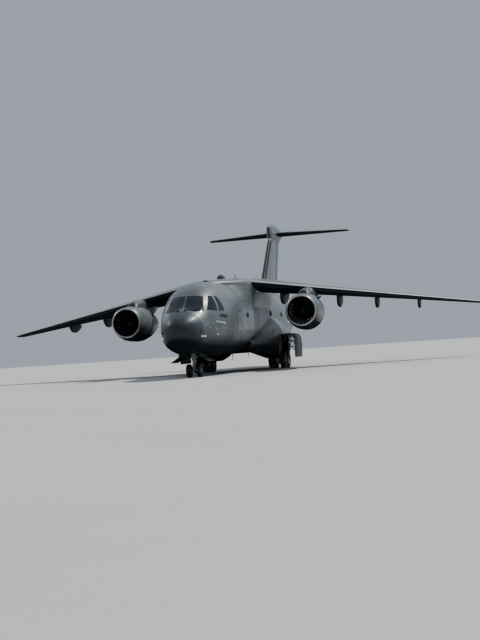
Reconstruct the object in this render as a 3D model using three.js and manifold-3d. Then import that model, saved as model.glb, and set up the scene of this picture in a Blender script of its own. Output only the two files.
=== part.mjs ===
// A high-wing military transport plane with two turbofans, a T-tail and a rear loading ramp.
// Units are millimetres. +Z is up, -Y is the nose, +X is the aircraft's left.
// A station is a distance aft of the nose tip. The origin is on the ground, midway along the length.
import * as THREE from "three";
import { mergeVertices } from "three/addons/utils/BufferGeometryUtils.js";
import Module from "manifold-3d";

const wasm = await Module();
wasm.setup();

// Driving dimensions
const LENGTH = 35200;
const HALF_SPAN = 17525;
const SEAT_GAP = 0.3;
const MOVE_GAP = 8;
const WALL = 160;
const HULL_SIDES = 32;
const HOLD_HALF_WIDTH = 1600;

// Colours, roughness and metalness
const PAINT = { color: 0x6f777d, roughness: 0.38, metalness: 0.1 };
const DARK_PAINT = { color: 0x596166, roughness: 0.42, metalness: 0.1 };
const DARK_METAL = { color: 0x2c2f32, roughness: 0.5, metalness: 0.7 };
const GEAR_WHITE = { color: 0xc9ccca, roughness: 0.4, metalness: 0.2 };
const TYRE = { color: 0x17181a, roughness: 0.85, metalness: 0 };
const GLASS = { color: 0x2b3a44, roughness: 0.08, metalness: 0 };
const CABIN_GREY = { color: 0x3a3f42, roughness: 0.7, metalness: 0 };

const plane = new THREE.Group();

// Turns a closed geometry into a solid, facing outwards
function solid(geometry) {
  const bare = geometry.index ? geometry.toNonIndexed() : geometry.clone();
  bare.deleteAttribute("normal");
  bare.deleteAttribute("uv");
  const merged = mergeVertices(bare, 1e-3);
  const vertProperties = merged.attributes.position.array;
  const triVerts = new Uint32Array(merged.index.array);
  const made = new wasm.Manifold(new wasm.Mesh({ numProp: 3, vertProperties, triVerts }));
  if (made.volume() >= 0) return made;
  turnFaces(triVerts);
  return new wasm.Manifold(new wasm.Mesh({ numProp: 3, vertProperties, triVerts }));
}

// Turns the other side of each triangle outwards
function turnFaces(triVerts) {
  for (let i = 0; i < triVerts.length; i += 3) {
    [triVerts[i + 1], triVerts[i + 2]] = [triVerts[i + 2], triVerts[i + 1]];
  }
}

// The same solid on the other side of the centre plane
function mirror(shape) {
  const { vertProperties, triVerts } = shape.getMesh();
  for (let i = 0; i < vertProperties.length; i += 3) {
    vertProperties[i] *= -1;
  }
  turnFaces(triVerts);
  return new wasm.Manifold(new wasm.Mesh({ numProp: 3, vertProperties, triVerts }));
}

const join = (...solids) => solids.reduce((whole, next) => whole.add(next));
const cut = (body, ...tools) => tools.reduce((left, tool) => left.subtract(tool), body);

// Adds a solid to the plane as a named mesh
function place(name, shape, look) {
  const { numProp, vertProperties, triVerts } = shape.getMesh();
  const points = new Float32Array((vertProperties.length / numProp) * 3);
  for (let i = 0; i < points.length / 3; i++) {
    points.set(vertProperties.subarray(i * numProp, i * numProp + 3), i * 3);
  }
  const geometry = new THREE.BufferGeometry();
  geometry.setAttribute("position", new THREE.BufferAttribute(points, 3));
  geometry.setIndex(new THREE.BufferAttribute(new Uint32Array(triVerts), 1));
  geometry.computeVertexNormals();
  const mesh = new THREE.Mesh(geometry, new THREE.MeshStandardMaterial(look));
  mesh.name = name;
  plane.add(mesh);
}

// A point given by its station, with x to the aircraft's left and z up
const at = (x, station, z) => new THREE.Vector3(x, station - LENGTH / 2, z);

// A closed body through rings that have the same number of points.
// The far half of each ring is split along the other diagonal: an oval's two sides mirror each other, and
// a thin twisted body keeps its thickness.
function loft(rings) {
  const count = rings[0].length;
  const points = rings.flat();
  const faces = [];
  for (let r = 0; r + 1 < rings.length; r++) {
    for (let i = 0; i < count; i++) {
      const a = r * count + i;
      const b = r * count + ((i + 1) % count);
      const far = i >= count / 4 && i < (3 * count) / 4;
      if (far) faces.push(a, b, a + count, b, b + count, a + count);
      else faces.push(a, b, b + count, a, b + count, a + count);
    }
  }
  const last = (rings.length - 1) * count;
  const middle = (ring) => ring.reduce((sum, p) => sum.add(p), new THREE.Vector3()).divideScalar(count);
  const front = points.push(middle(rings[0])) - 1;
  const back = points.push(middle(rings[rings.length - 1])) - 1;
  for (let i = 0; i < count; i++) {
    const j = (i + 1) % count;
    faces.push(front, j, i, back, last + i, last + j);
  }
  const geometry = new THREE.BufferGeometry().setFromPoints(points);
  geometry.setIndex(faces);
  return solid(geometry);
}

// A box between two corners: x, station and z of each
function block(x0, s0, z0, x1, s1, z1) {
  const low = at(x0, s0, z0);
  const high = at(x1, s1, z1);
  const size = high.clone().sub(low);
  const box = new THREE.BoxGeometry(Math.abs(size.x), Math.abs(size.y), Math.abs(size.z));
  const mid = low.add(high).multiplyScalar(0.5);
  return solid(box.translate(mid.x, mid.y, mid.z));
}

// A cylinder or cone between two points
function rod(from, to, radius, sides = 20, endRadius = radius) {
  const axis = to.clone().sub(from);
  const geometry = new THREE.CylinderGeometry(endRadius, radius, axis.length(), sides);
  geometry.translate(0, axis.length() / 2, 0);
  const up = new THREE.Vector3(0, 1, 0);
  geometry.applyQuaternion(new THREE.Quaternion().setFromUnitVectors(up, axis.normalize()));
  return solid(geometry.translate(from.x, from.y, from.z));
}

// A prism with a flat outline, whose two ends are given by functions from outline point to space
function prism(outline, near, far) {
  const count = outline.length;
  const flat = outline.map(([u, v]) => new THREE.Vector2(u, v));
  const cap = THREE.ShapeUtils.triangulateShape(flat, []);
  const faces = [];
  cap.forEach(([a, b, c]) => faces.push(a, b, c, count + c, count + b, count + a));
  const turned = THREE.ShapeUtils.isClockWise(flat);
  for (let i = 0; i < count; i++) {
    const [a, b] = turned ? [i, (i + 1) % count] : [(i + 1) % count, i];
    faces.push(a, b, count + b, a, count + b, count + a);
  }
  const geometry = new THREE.BufferGeometry().setFromPoints([...outline.map(near), ...outline.map(far)]);
  geometry.setIndex(faces);
  return solid(geometry);
}

// A prism with a side outline of [station, z] points, between two x values
function sidePrism(outline, x0, x1) {
  const end = (x) => ([station, z]) => at(x, station, z);
  return prism(outline, end(x0), end(x1));
}

// A prism with a front outline of [x, z] points, between two stations
function frontPrism(outline, s0, s1) {
  const end = (station) => ([x, z]) => at(x, station, z);
  return prism(outline, end(s0), end(s1));
}

// A closed ring of a superellipse in the plane of a station
function oval(station, centreX, centreZ, halfOut, halfIn, up, down, power, sides, lowPower = power) {
  const ring = [];
  for (let i = 0; i < sides; i++) {
    const turn = (i / sides) * 2 * Math.PI;
    const c = Math.cos(turn);
    const s = Math.sin(turn);
    const bend = 2 / (s > 0 ? power : lowPower);
    const x = Math.sign(c) * Math.abs(c) ** bend * (c > 0 ? halfOut : halfIn);
    const z = Math.sign(s) * Math.abs(s) ** bend * (s > 0 ? up : down);
    ring.push(at(centreX + x, station, centreZ + z));
  }
  return ring;
}

// Reads a table at a position between two of its rows
function rowAt(table, position) {
  const after = Math.max(1, table.findIndex((row) => row[0] >= position));
  const [a, b] = [table[after - 1], table[after]];
  const t = (position - a[0]) / (b[0] - a[0]);
  return a.map((value, i) => value + (b[i] - value) * t);
}

// Fuselage
// Columns: station, half width, bottom height, top height, squareness above and below the middle
const HULL = [
  [0, 40, 2760, 2840, 2, 2],
  [60, 300, 2500, 3080, 2, 2],
  [260, 640, 2190, 3330, 2, 2.1],
  [650, 970, 1880, 3600, 2.05, 2.2],
  [1200, 1280, 1630, 3890, 2.05, 2.35],
  [1700, 1470, 1500, 4180, 2.05, 2.5],
  [2500, 1690, 1370, 4830, 2.05, 2.6],
  [3300, 1870, 1300, 5290, 2.05, 2.7],
  [4200, 2020, 1250, 5620, 2.05, 2.8],
  [5300, 2170, 1215, 5790, 2.05, 3.2],
  [6800, 2290, 1210, 5860, 2.05, 3.1],
  [8500, 2330, 1210, 5870, 2.1, 3],
  [21500, 2330, 1210, 5870, 2.1, 3],
  [24000, 2320, 1610, 5870, 2.1, 3],
  [26500, 2230, 2370, 5870, 2.1, 2.8],
  [29000, 1950, 3230, 5830, 2.05, 2.5],
  [31200, 1500, 3980, 5740, 2, 2.2],
  [33000, 930, 4560, 5600, 2, 2],
  [34000, 380, 4900, 5420, 2, 2],
];
const RADOME_END = 1200;
const COCKPIT_END = 5300;
const WING_SECTION_START = 9600;
const REAR_START = 21500;
const CONE_START = 31200;

// The outer form of the fuselage between two stations, set in from its skin by a depth
function hull(start, end, depth, overrun = 0) {
  const inner = HULL.map((row) => row[0]).filter((s) => s > start + 1 && s < end - 1);
  const stations = [start, ...inner, end];
  const rings = stations.map((station) => {
    const [, half, bottom, top, power, lowPower] = rowAt(HULL, station);
    const mid = (bottom + top) / 2;
    const tall = (top - bottom) / 2 - depth;
    const wide = half - depth;
    const shift = station === start ? -overrun : station === end ? overrun : 0;
    return oval(station + shift, 0, mid, wide, wide, tall, tall, power, HULL_SIDES, lowPower);
  });
  return loft(rings);
}

// A length of fuselage wall, open at both ends
function shell(start, end) {
  return cut(hull(start, end, 0), hull(start, end, WALL, 1));
}

// Wing centre section, which lies in the top of the fuselage
// Columns: station, half width, bottom, top
const WING_CENTRE = [
  [7400, 420, 5450, 5900],
  [8800, 1400, 5250, 6060],
  [10400, 2150, 5080, 6210],
  [12000, 2420, 4960, 6260],
  [16600, 2420, 4960, 6260],
  [18000, 2250, 5100, 6200],
  [19800, 1300, 5450, 6020],
  [20900, 500, 5500, 5900],
];
const WING_ROOT_X = 2350;

function wingCentre(grow) {
  const rings = WING_CENTRE.map(([station, half, bottom, top]) => {
    const mid = (bottom + top) / 2;
    const tall = (top - bottom) / 2 + grow;
    return oval(station, 0, mid, half + grow, half + grow, tall, tall, 3.2, 24);
  });
  const side = WING_ROOT_X + grow;
  return loft(rings).intersect(block(-side, 7000, 4000, side, 21000, 7000));
}

// Lifting surfaces
// Half the thickness of a wing section of unit chord and thickness at a share of the chord
function halfThickness(f) {
  return 5 * (0.2969 * Math.sqrt(f) - 0.126 * f - 0.3516 * f ** 2 + 0.2843 * f ** 3 - 0.1036 * f ** 4);
}

const EDGE_HALF_THICKNESS = 5;
const SECTION_SHARES = [1, 0.6, 0.32, 0.14, 0.05, 0.012, 0];

// A section's outline between two shares of its chord, as [distance aft, height] pairs
function sectionOutline(chord, ratio, from, to, camber, grow, roundNose) {
  const half = (f) => halfThickness(f) * ratio * chord + EDGE_HALF_THICKNESS + grow;
  const mean = (f) => camber * chord * 4 * f * (1 - f);
  const shares = SECTION_SHARES.map((share) => from + (to - from) * share);
  const upper = shares.map((f) => [f * chord, mean(f) + half(f)]);
  const lower = shares.map((f) => [f * chord, mean(f) - half(f)]).reverse();
  const nose = [];
  const radius = half(from);
  for (let i = 1; roundNose && i < 6; i++) {
    const turn = (i / 6) * Math.PI;
    nose.push([from * chord - Math.sin(turn) * radius, mean(from) + Math.cos(turn) * radius]);
  }
  return [...upper, ...nose, ...lower];
}

// Wing plan
// Columns: x, leading edge station, trailing edge station, height, thickness ratio, incidence in degrees
const WING = [
  [2350, 10790, 17100, 5770, 0.14, 3.2],
  [7000, 12664, 17200, 5100, 0.125, 3.2],
  [12850, 15022, 17979, 4256, 0.115, 2.2],
  [17000, 16694, 18532, 3657, 0.105, 1.6],
  [17525, 17150, 18560, 3581, 0.08, 1.6],
];
const HINGE_LINE = { x: 2400, station: 15400, slope: 0.1696 };
const hingeStation = (x) => HINGE_LINE.station + HINGE_LINE.slope * (x - HINGE_LINE.x);
const WING_CAMBER = 0.012;
const FLAP_SPAN = [2600, 12850];
const AILERON_SPAN = [12900, 16965];

// Turns a point of a wing section about its leading edge by the incidence in its row of the table
function pitched(row, aft, up) {
  const turn = THREE.MathUtils.degToRad(row[5]);
  return [aft * Math.cos(turn) + up * Math.sin(turn), up * Math.cos(turn) - aft * Math.sin(turn)];
}

// A length of wing: the fixed part, the hinged part or the whole chord
function wingLength(x0, x1, part, grow = 0) {
  const inner = WING.map((row) => row[0]).filter((x) => x > x0 + 1 && x < x1 - 1);
  const rings = [x0, ...inner, x1].map((x) => {
    const row = rowAt(WING, x);
    const [, lead, trail, height, ratio] = row;
    const chord = trail - lead;
    const hinge = (hingeStation(x) - lead) / chord;
    const noseRadius = halfThickness(hinge) * ratio * chord + EDGE_HALF_THICKNESS;
    const wall = hinge - (noseRadius + MOVE_GAP) / chord;
    const [from, to] = { fixed: [0, wall], hinged: [hinge, 1], whole: [0, 1] }[part];
    const outline = sectionOutline(chord, ratio, from, to, WING_CAMBER, grow, part === "hinged");
    return outline.map(([along, off]) => {
      const [aft, up] = pitched(row, along < 1 ? along - grow : along, off);
      return at(x, lead + aft, height + up);
    });
  });
  return loft(rings);
}

// Flap track fairings hang under the wing. The front half is fixed and the rear half moves with the flap.
// Columns: x, depth below the wing, half width
const TRACKS = [
  [3500, 700, 140],
  [7300, 760, 140],
  [9850, 700, 130],
  [12700, 560, 110],
];

function trackFairing(x, depth, halfWidth, rear) {
  const row = rowAt(WING, x);
  const [, lead, trail, height, ratio] = row;
  const chord = trail - lead;
  const hinge = (hingeStation(x) - lead) / chord;
  const hingeAft = pitched(row, hinge * chord, 0)[0];
  const split = lead + hingeAft - halfThickness(hinge) * ratio * chord - EDGE_HALF_THICKNESS;
  const under = (station) => {
    const f = Math.min(1, Math.max(0, (station - lead) / chord));
    return height + pitched(row, f * chord, -halfThickness(f) * ratio * chord)[1];
  };
  const end = trail + 950;
  // Columns: station, share of the depth, share of the width
  const rows = rear
    ? [
        [split + 20, 1, 1],
        [split + (end - split) * 0.45, 0.8, 0.85],
        [split + (end - split) * 0.8, 0.42, 0.5],
        [end, 0.08, 0.12],
      ]
    : [
        [split - 2100, 0.08, 0.15],
        [split - 1500, 0.55, 0.7],
        [split - 700, 0.92, 1],
        [split - MOVE_GAP, 1, 1],
      ];
  const rings = rows.map(([station, deep, wide]) => {
    const top = under(Math.min(station, trail - 60)) + (station > trail ? -20 : 110);
    const tall = (depth * deep + (station > trail ? 0 : 110)) / 2;
    return oval(station, x, top - tall, halfWidth * wide, halfWidth * wide, tall, tall, 2.2, 8);
  });
  return loft(rings);
}

function leftWing(grow = 0) {
  const main = wingLength(WING_ROOT_X + SEAT_GAP - grow, 17000, "fixed", grow);
  const tip = wingLength(16990, HALF_SPAN, "whole", grow);
  return join(main, tip);
}

// Engines
const ENGINE_X = 5800;
const ENGINE_STATION = 8290;
const ENGINE_Z = 3690;
// Columns: distance aft of the intake, radius, extra depth below
const NACELLE_OUTSIDE = [
  [0, 925, 0],
  [30, 965, 4],
  [120, 1010, 15],
  [400, 1060, 45],
  [1100, 1110, 95],
  [2300, 1120, 110],
  [3400, 1020, 80],
  [4400, 840, 25],
  [5050, 690, 0],
];
const NACELLE_DUCT = [
  [-40, 935, 0],
  [0, 915, 0],
  [40, 868, 0],
  [150, 838, 0],
  [420, 822, 0],
  [1000, 832, 0],
  [2200, 800, 0],
  [3800, 720, 0],
  [5090, 652, 0],
];
const FAN_FACE = 980;
const FAN_RADIUS = 805;
const HUB_RADIUS = 245;
const BLADE_COUNT = 22;
const CORE_RADIUS = 430;

function nacelleForm(rows, grow) {
  return loft(
    rows.map(([aft, radius, deep]) => {
      const r = radius + grow;
      return oval(ENGINE_STATION + aft, ENGINE_X, ENGINE_Z, r, r, r, r + deep, 2, 24);
    }),
  );
}

function nacelle() {
  return cut(nacelleForm(NACELLE_OUTSIDE, 0), nacelleForm(NACELLE_DUCT, 0));
}

function fan() {
  const spin = (aft) => at(ENGINE_X, ENGINE_STATION + aft, ENGINE_Z);
  const spinner = rod(spin(FAN_FACE - 330), spin(FAN_FACE - 40), 30, 20, HUB_RADIUS - 20);
  const hub = rod(spin(FAN_FACE - 41), spin(FAN_FACE + 160), HUB_RADIUS - 20, 20, HUB_RADIUS);
  const blades = [];
  for (let i = 0; i < BLADE_COUNT; i++) {
    // Columns: radius, twist in degrees, chord, half thickness
    const rows = [
      [HUB_RADIUS - 60, 24, 110, 9],
      [FAN_RADIUS, 58, 190, 6],
    ];
    const rings = rows.map(([radius, twist, chord, half]) => {
      const turn = THREE.MathUtils.degToRad(twist);
      const corners = [
        [-chord / 2, -half],
        [chord / 2, -half],
        [chord / 2, half],
        [-chord / 2, half],
      ];
      return corners.map(([along, off]) => {
        const across = Math.sin(turn) * along + Math.cos(turn) * off;
        const aft = Math.cos(turn) * along - Math.sin(turn) * off;
        const p = new THREE.Vector3(across, aft, radius);
        p.applyAxisAngle(new THREE.Vector3(0, 1, 0), (i / BLADE_COUNT) * 2 * Math.PI);
        return p.add(spin(FAN_FACE + 60));
      });
    });
    blades.push(loft(rings));
  }
  return join(spinner, hub, ...blades);
}

function engineCore() {
  const spin = (aft) => at(ENGINE_X, ENGINE_STATION + aft, ENGINE_Z);
  const front = FAN_FACE + 160 + SEAT_GAP;
  const drum = rod(spin(front), spin(front + 500), HUB_RADIUS + 20, 20, CORE_RADIUS);
  const core = rod(spin(front + 499), spin(4100), CORE_RADIUS, 20);
  const tail = rod(spin(4099), spin(4900), CORE_RADIUS, 20, 120);
  const vanes = [];
  for (let i = 0; i < 8; i++) {
    const vane = new THREE.BoxGeometry(40, 260, 620);
    vane.translate(0, 0, 310 + 200);
    vane.rotateY((i / 8) * 2 * Math.PI + Math.PI / 8);
    const centre = spin(front + 420);
    vanes.push(solid(vane.translate(centre.x, centre.y, centre.z)));
  }
  const ductLimit = nacelleForm(NACELLE_DUCT, -SEAT_GAP);
  return join(drum, core, tail, ...vanes).intersect(ductLimit);
}

// A broad fairing in front, and a narrow one behind it under the wing
function pylon() {
  const front = ENGINE_STATION + 1300;
  const broad = [
    [front, 4700],
    [front + 110, 4900],
    [front + 360, 5080],
    [front + 1010, 5200],
    [12000, 5290],
    [13300, 5250],
    [13300, 4500],
    [front, 4180],
  ];
  const narrow = [
    [12900, 5200],
    [13600, 5250],
    [15500, 5130],
    [15200, 4850],
    [14300, 4450],
    [12900, 4180],
  ];
  const [broadHalf, narrowHalf] = [410, 170];
  const body = join(
    sidePrism(broad, ENGINE_X - broadHalf, ENGINE_X + broadHalf),
    sidePrism(narrow, ENGINE_X - narrowHalf, ENGINE_X + narrowHalf),
  );
  return cut(body, nacelleForm(NACELLE_OUTSIDE, SEAT_GAP), leftWing(SEAT_GAP));
}

// Main gear sponson, whose faceted front rises from the belly to the wheel arch
// Columns: station, top, middle of the slope x and z, shoulder x and z, foot x and z, bottom
const SPONSON = [
  [9600, 1950, 2200, 1880, 2210, 1750, 2120, 1450, 1300],
  [12600, 2790, 2560, 2460, 2730, 2080, 2480, 1120, 1020],
  [15700, 3640, 2880, 3010, 3270, 2240, 3080, 860, 740],
  [18300, 3640, 2880, 3010, 3270, 2240, 3080, 860, 740],
  [20500, 3250, 2640, 2760, 2950, 2150, 2760, 1150, 1010],
  [22800, 2400, 2280, 2250, 2300, 1950, 2260, 1600, 1500],
];
const SPONSON_INNER_X = 1900;
const GEAR_X = 2740;
const GEAR_STATION = 16170;
const AXLE_SPREAD = 1320;
const MAIN_AXLE_RADIUS = 62;
const NOSE_AXLE_RADIUS = 46;
const NOSE_PISTON_RADIUS = 92;
const BORE_GAP = 0.95;
const PISTON_GAP = 0.6;
const PISTON_SIDES = 40;
const WELL = { inner: 1990, start: 14780, end: 17560, top: 2350 };

function sponson() {
  const rings = SPONSON.map(([station, top, x0, z0, x1, z1, x2, z2, bottom]) => {
    const corners = [
      [SPONSON_INNER_X, bottom],
      [x2 - 240, bottom],
      [x2, z2],
      [x1, z1],
      [x0, z0],
      [2250, top],
      [SPONSON_INNER_X, top],
    ];
    return corners.map(([x, z]) => at(x, station, z));
  });
  const fuselage = hull(7500, 24000, -SEAT_GAP);
  const well = block(WELL.inner, WELL.start, 0, 4600, WELL.end, WELL.top);
  const rampSide = block(0, REAR_START - 100, 0, HOLD_HALF_WIDTH + 120, 24000, 4000);
  return cut(loft(rings), fuselage, well, rampSide);
}

function mainLeg() {
  const foot = at(GEAR_X, GEAR_STATION, 560);
  const strut = rod(at(GEAR_X, GEAR_STATION, 640), at(GEAR_X, GEAR_STATION, 1500), 95);
  const barrel = rod(at(GEAR_X, GEAR_STATION, 1300), at(GEAR_X, GEAR_STATION, WELL.top - SEAT_GAP), 150);
  const half = AXLE_SPREAD / 2 + 150;
  const beam = block(GEAR_X - 130, GEAR_STATION - half, 450, GEAR_X + 130, GEAR_STATION + half, 680);
  const brace = rod(at(GEAR_X, GEAR_STATION + 1000, 2400), at(GEAR_X, GEAR_STATION, 1400), 55, 12);
  const below = block(0, GEAR_STATION - 2000, 0, 4000, GEAR_STATION + 2000, WELL.top - SEAT_GAP);
  const legs = join(strut, barrel, beam, brace).intersect(below);
  const bores = [-1, 1].map((side) => {
    const station = GEAR_STATION + (side * AXLE_SPREAD) / 2;
    return rod(at(GEAR_X - 300, station, foot.z), at(GEAR_X + 300, station, foot.z), MAIN_AXLE_RADIUS + BORE_GAP);
  });
  return cut(legs, ...bores);
}

// A pair of wheels on one axle. The profile of a tyre is turned about the axle.
function wheelPair(centre, spread, radius, width, axleRadius) {
  const half = width / 2;
  const profile = [
    [0, -half * 0.7],
    [radius * 0.5, -half * 0.7],
    [radius * 0.75, -half],
    [radius, -half * 0.6],
    [radius, half * 0.6],
    [radius * 0.75, half],
    [radius * 0.5, half * 0.7],
    [0, half * 0.7],
  ];
  const wheels = [-1, 1].map((side) => {
    const points = profile.map(([r, y]) => new THREE.Vector2(r, y));
    const turned = new THREE.LatheGeometry(points, 20);
    turned.rotateZ(-Math.PI / 2);
    return solid(turned.translate(centre.x + (side * spread) / 2, centre.y, centre.z));
  });
  const reach = new THREE.Vector3(spread / 2, 0, 0);
  const axle = rod(centre.clone().sub(reach), centre.clone().add(reach), axleRadius);
  return join(...wheels, axle);
}

// Outboard main gear door, which hangs open outside the wheels
function mainDoor() {
  const outline = [
    [3080, WELL.top - SEAT_GAP],
    [3300, WELL.top - SEAT_GAP],
    [3560, 2400],
    [3860, 2390],
    [4060, 2290],
    [4170, 2060],
    [4200, 1500],
    [4150, 700],
    [4090, 700],
    [4140, 1500],
    [4105, 2020],
    [4010, 2220],
    [3840, 2310],
    [3560, 2320],
    [3300, 2305],
    [3080, 2305],
  ];
  return frontPrism(outline, WELL.start + 60, WELL.end - 60);
}

// Nose gear
const NOSE_GEAR_STATION = 3250;
const NOSE_WHEEL_RADIUS = 400;
const NOSE_WELL = { half: 650, start: 2150, end: 4050 };
const COCKPIT_FLOOR_Z = 3000;

function noseLeg() {
  const on = (z) => at(0, NOSE_GEAR_STATION, z);
  const barrel = rod(on(980), on(COCKPIT_FLOOR_Z - SEAT_GAP), 135);
  const brace = rod(at(0, NOSE_GEAR_STATION - 900, 2700), on(1500), 50, 12);
  const bore = rod(on(900), on(1650), NOSE_PISTON_RADIUS + PISTON_GAP, PISTON_SIDES);
  return cut(join(barrel, brace), bore);
}

function noseFork() {
  const on = (z) => at(0, NOSE_GEAR_STATION, z);
  const piston = rod(on(330), on(1600), NOSE_PISTON_RADIUS, PISTON_SIDES);
  const hub = rod(at(-130, NOSE_GEAR_STATION, 400), at(130, NOSE_GEAR_STATION, 400), 105);
  const ends = [-300, 300].map((x) => at(x, NOSE_GEAR_STATION, 400));
  const bore = rod(ends[0], ends[1], NOSE_AXLE_RADIUS + BORE_GAP);
  return cut(join(piston, hub), bore);
}

function noseDoor() {
  const hinge = [NOSE_WELL.half - 20, 1272];
  const length = 640;
  const turn = THREE.MathUtils.degToRad(-32);
  const along = [Math.cos(turn), Math.sin(turn)];
  const off = [-along[1], along[0]];
  const corner = (a, b) => [hinge[0] + along[0] * a + off[0] * b, hinge[1] + along[1] * a + off[1] * b];
  const leaf = [corner(0, 0), corner(length, 0), corner(length, -30), corner(0, -30)];
  const side = NOSE_WELL.half - SEAT_GAP;
  const flange = block(side - 30, 2250, 1235, side, 3950, 1500);
  return join(frontPrism(leaf, 2250, 3950), flange);
}

// Tail
// Columns: height, leading edge station, trailing edge station, thickness ratio
const FIN = [
  [5500, 24244, 30866, 0.115],
  [6600, 25370, 31500, 0.115],
  [10250, 29190, 33590, 0.11],
  [10800, 29760, 33900, 0.1],
];
const RUDDER_SPAN = [6670, 10110];
const END_GAP = 40;
const RUDDER_LOW_GAP = 75;
const RUDDER_HIGH_GAP = 140;
const TAIL_GAP = 11;
const RUDDER_SHARE = 0.7;
// Columns: x, leading edge station, trailing edge station, height, thickness ratio
const TAILPLANE = [
  [0, 30950, 34150, 11080, 0.11],
  [5900, 33250, 34750, 11140, 0.1],
  [6120, 33500, 34770, 11140, 0.08],
];
const ELEVATOR_SPAN = [650, 5880];
const ELEVATOR_SHARE = 0.7;

function surfaceLength(table, from, to, part, share, point, extra = 0) {
  const inner = table.map((row) => row[0]).filter((v) => v > from + 1 && v < to - 1);
  const rings = [from, ...inner, to].map((position) => {
    const row = rowAt(table, position);
    const chord = row[2] - row[1];
    const ratio = row[row.length - 1];
    const radius = halfThickness(share) * ratio * chord + EDGE_HALF_THICKNESS;
    const wall = share - (radius + TAIL_GAP) / chord;
    const [f0, f1] = { fixed: [0, wall], hinged: [share, 1], whole: [0, 1] }[part];
    const outline = sectionOutline(chord, ratio, f0, f1, 0, extra, part === "hinged");
    const ends = (aft) => (aft < 1 ? -extra : aft > chord - 1 ? extra : 0);
    return outline.map(([aft, off]) => point(position, row[1] + aft + ends(aft), off, row));
  });
  return loft(rings);
}

const finPoint = (z, station, off) => at(off, station, z);
const tailPoint = (x, station, off, row) => at(x, station, row[3] + off);

function fin() {
  const [low, high] = RUDDER_SPAN;
  const [lowEnd, highEnd] = [low - RUDDER_LOW_GAP, high + RUDDER_HIGH_GAP];
  const root = surfaceLength(FIN, FIN[0][0], lowEnd, "whole", RUDDER_SHARE, finPoint);
  const middle = surfaceLength(FIN, lowEnd - 5, highEnd + 5, "fixed", RUDDER_SHARE, finPoint);
  const top = surfaceLength(FIN, highEnd, 10800, "whole", RUDDER_SHARE, finPoint);
  const fillet = loft([
    [at(-12, 21800, 5890), at(12, 21800, 5890), at(12, 21800, 5820), at(-12, 21800, 5820)],
    [at(-110, 25900, 7100), at(110, 25900, 7100), at(190, 25900, 5700), at(-190, 25900, 5700)],
  ]);
  return cut(join(root, middle, top, fillet), hull(20000, 33900, -SEAT_GAP));
}

// Fairing where the tailplane crosses the fin
// Columns: station, half width, bottom, top
const BULLET = [
  [29250, 30, 11000, 11180],
  [29450, 200, 10620, 11560],
  [29900, 340, 10330, 11790],
  [30700, 430, 10220, 11850],
  [32200, 440, 10300, 11850],
  [33600, 330, 10560, 11740],
  [34600, 180, 10830, 11500],
  [35200, 30, 11080, 11200],
];

function bullet() {
  const rings = BULLET.map(([station, half, bottom, top]) => {
    const tall = (top - bottom) / 2;
    return oval(station, 0, bottom + tall, half, half, tall, tall, 2.1, 24, 1.5);
  });
  return loft(rings);
}

// Cockpit windows
// Front panes: x and height of the corners. Side panes: station and height of the corners.
const FRONT_PANE = [
  [45, 4070],
  [45, 4820],
  [550, 4810],
  [930, 4760],
  [1180, 3830],
  [700, 3830],
  [270, 3980],
];
const SIDE_PANES = [
  [
    [2100, 3920],
    [3070, 4790],
    [3350, 4790],
    [2930, 3840],
  ],
  [
    [3130, 3840],
    [3490, 4760],
    [3720, 4760],
    [3840, 3840],
  ],
];
const SIDE_PANE_CUT = [900, 2600];
const PANE_DEPTH = [12, 48];

function grow(outline, amount) {
  const middle = outline.reduce((sum, p) => [sum[0] + p[0], sum[1] + p[1]], [0, 0]);
  const centre = middle.map((v) => v / outline.length);
  return outline.map((p) => {
    const away = [p[0] - centre[0], p[1] - centre[1]];
    const size = Math.hypot(...away);
    return p.map((v, i) => v + (away[i] / size) * amount);
  });
}

function paneTools(amount) {
  const tools = [frontPrism(grow(FRONT_PANE, amount), 800, 3300)];
  SIDE_PANES.forEach((pane) => tools.push(sidePrism(grow(pane, amount), ...SIDE_PANE_CUT)));
  return tools;
}

// Doors
const CREW_DOOR = { start: 4150, end: 5050, low: 1720, high: 3560 };
const RAMP_HINGE = { station: 21760, z: 1250 };
const RAMP_ANGLE = 15.7;
const RAMP_LENGTH = 5700;
const RAMP_DECK = 420;
const CUT_HEIGHT = 900;
const UPPER_DOOR_LENGTH = 3300;
const UPPER_DOOR_END_HALF = 850;

// A block laid along a slope that starts at a hinge: x range, then along and off ranges
function slopedBlock(hinge, angle, half0, half1, a0, a1, b0, b1) {
  const turn = THREE.MathUtils.degToRad(angle);
  const spot = (x, a, b) =>
    at(x, hinge.station + Math.cos(turn) * a - Math.sin(turn) * b, hinge.z + Math.sin(turn) * a + Math.cos(turn) * b);
  const ring = (half, a) => [spot(-half, a, b0), spot(half, a, b0), spot(half, a, b1), spot(-half, a, b1)];
  return loft([ring(half0, a0), ring(half1, a1)]);
}

function rampTool(amount, top) {
  const half = HOLD_HALF_WIDTH + amount;
  return slopedBlock(RAMP_HINGE, RAMP_ANGLE, half, half, -amount, RAMP_LENGTH + amount, -900, top);
}

const rampTurn = THREE.MathUtils.degToRad(RAMP_ANGLE);
const DOOR_GAP = 60;
const UPPER_START = {
  station: RAMP_HINGE.station + Math.cos(rampTurn) * (RAMP_LENGTH + DOOR_GAP),
  z: RAMP_HINGE.z + Math.sin(rampTurn) * (RAMP_LENGTH + DOOR_GAP),
};

function upperDoorTool(amount, lead) {
  const taper = (HOLD_HALF_WIDTH - UPPER_DOOR_END_HALF) / UPPER_DOOR_LENGTH;
  const wide = HOLD_HALF_WIDTH + amount + lead * taper;
  const narrow = UPPER_DOOR_END_HALF + amount * (1 - taper);
  const end = UPPER_DOOR_LENGTH + amount;
  return slopedBlock(UPPER_START, RAMP_ANGLE, wide, narrow, -lead, end, -500, CUT_HEIGHT);
}

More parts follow.
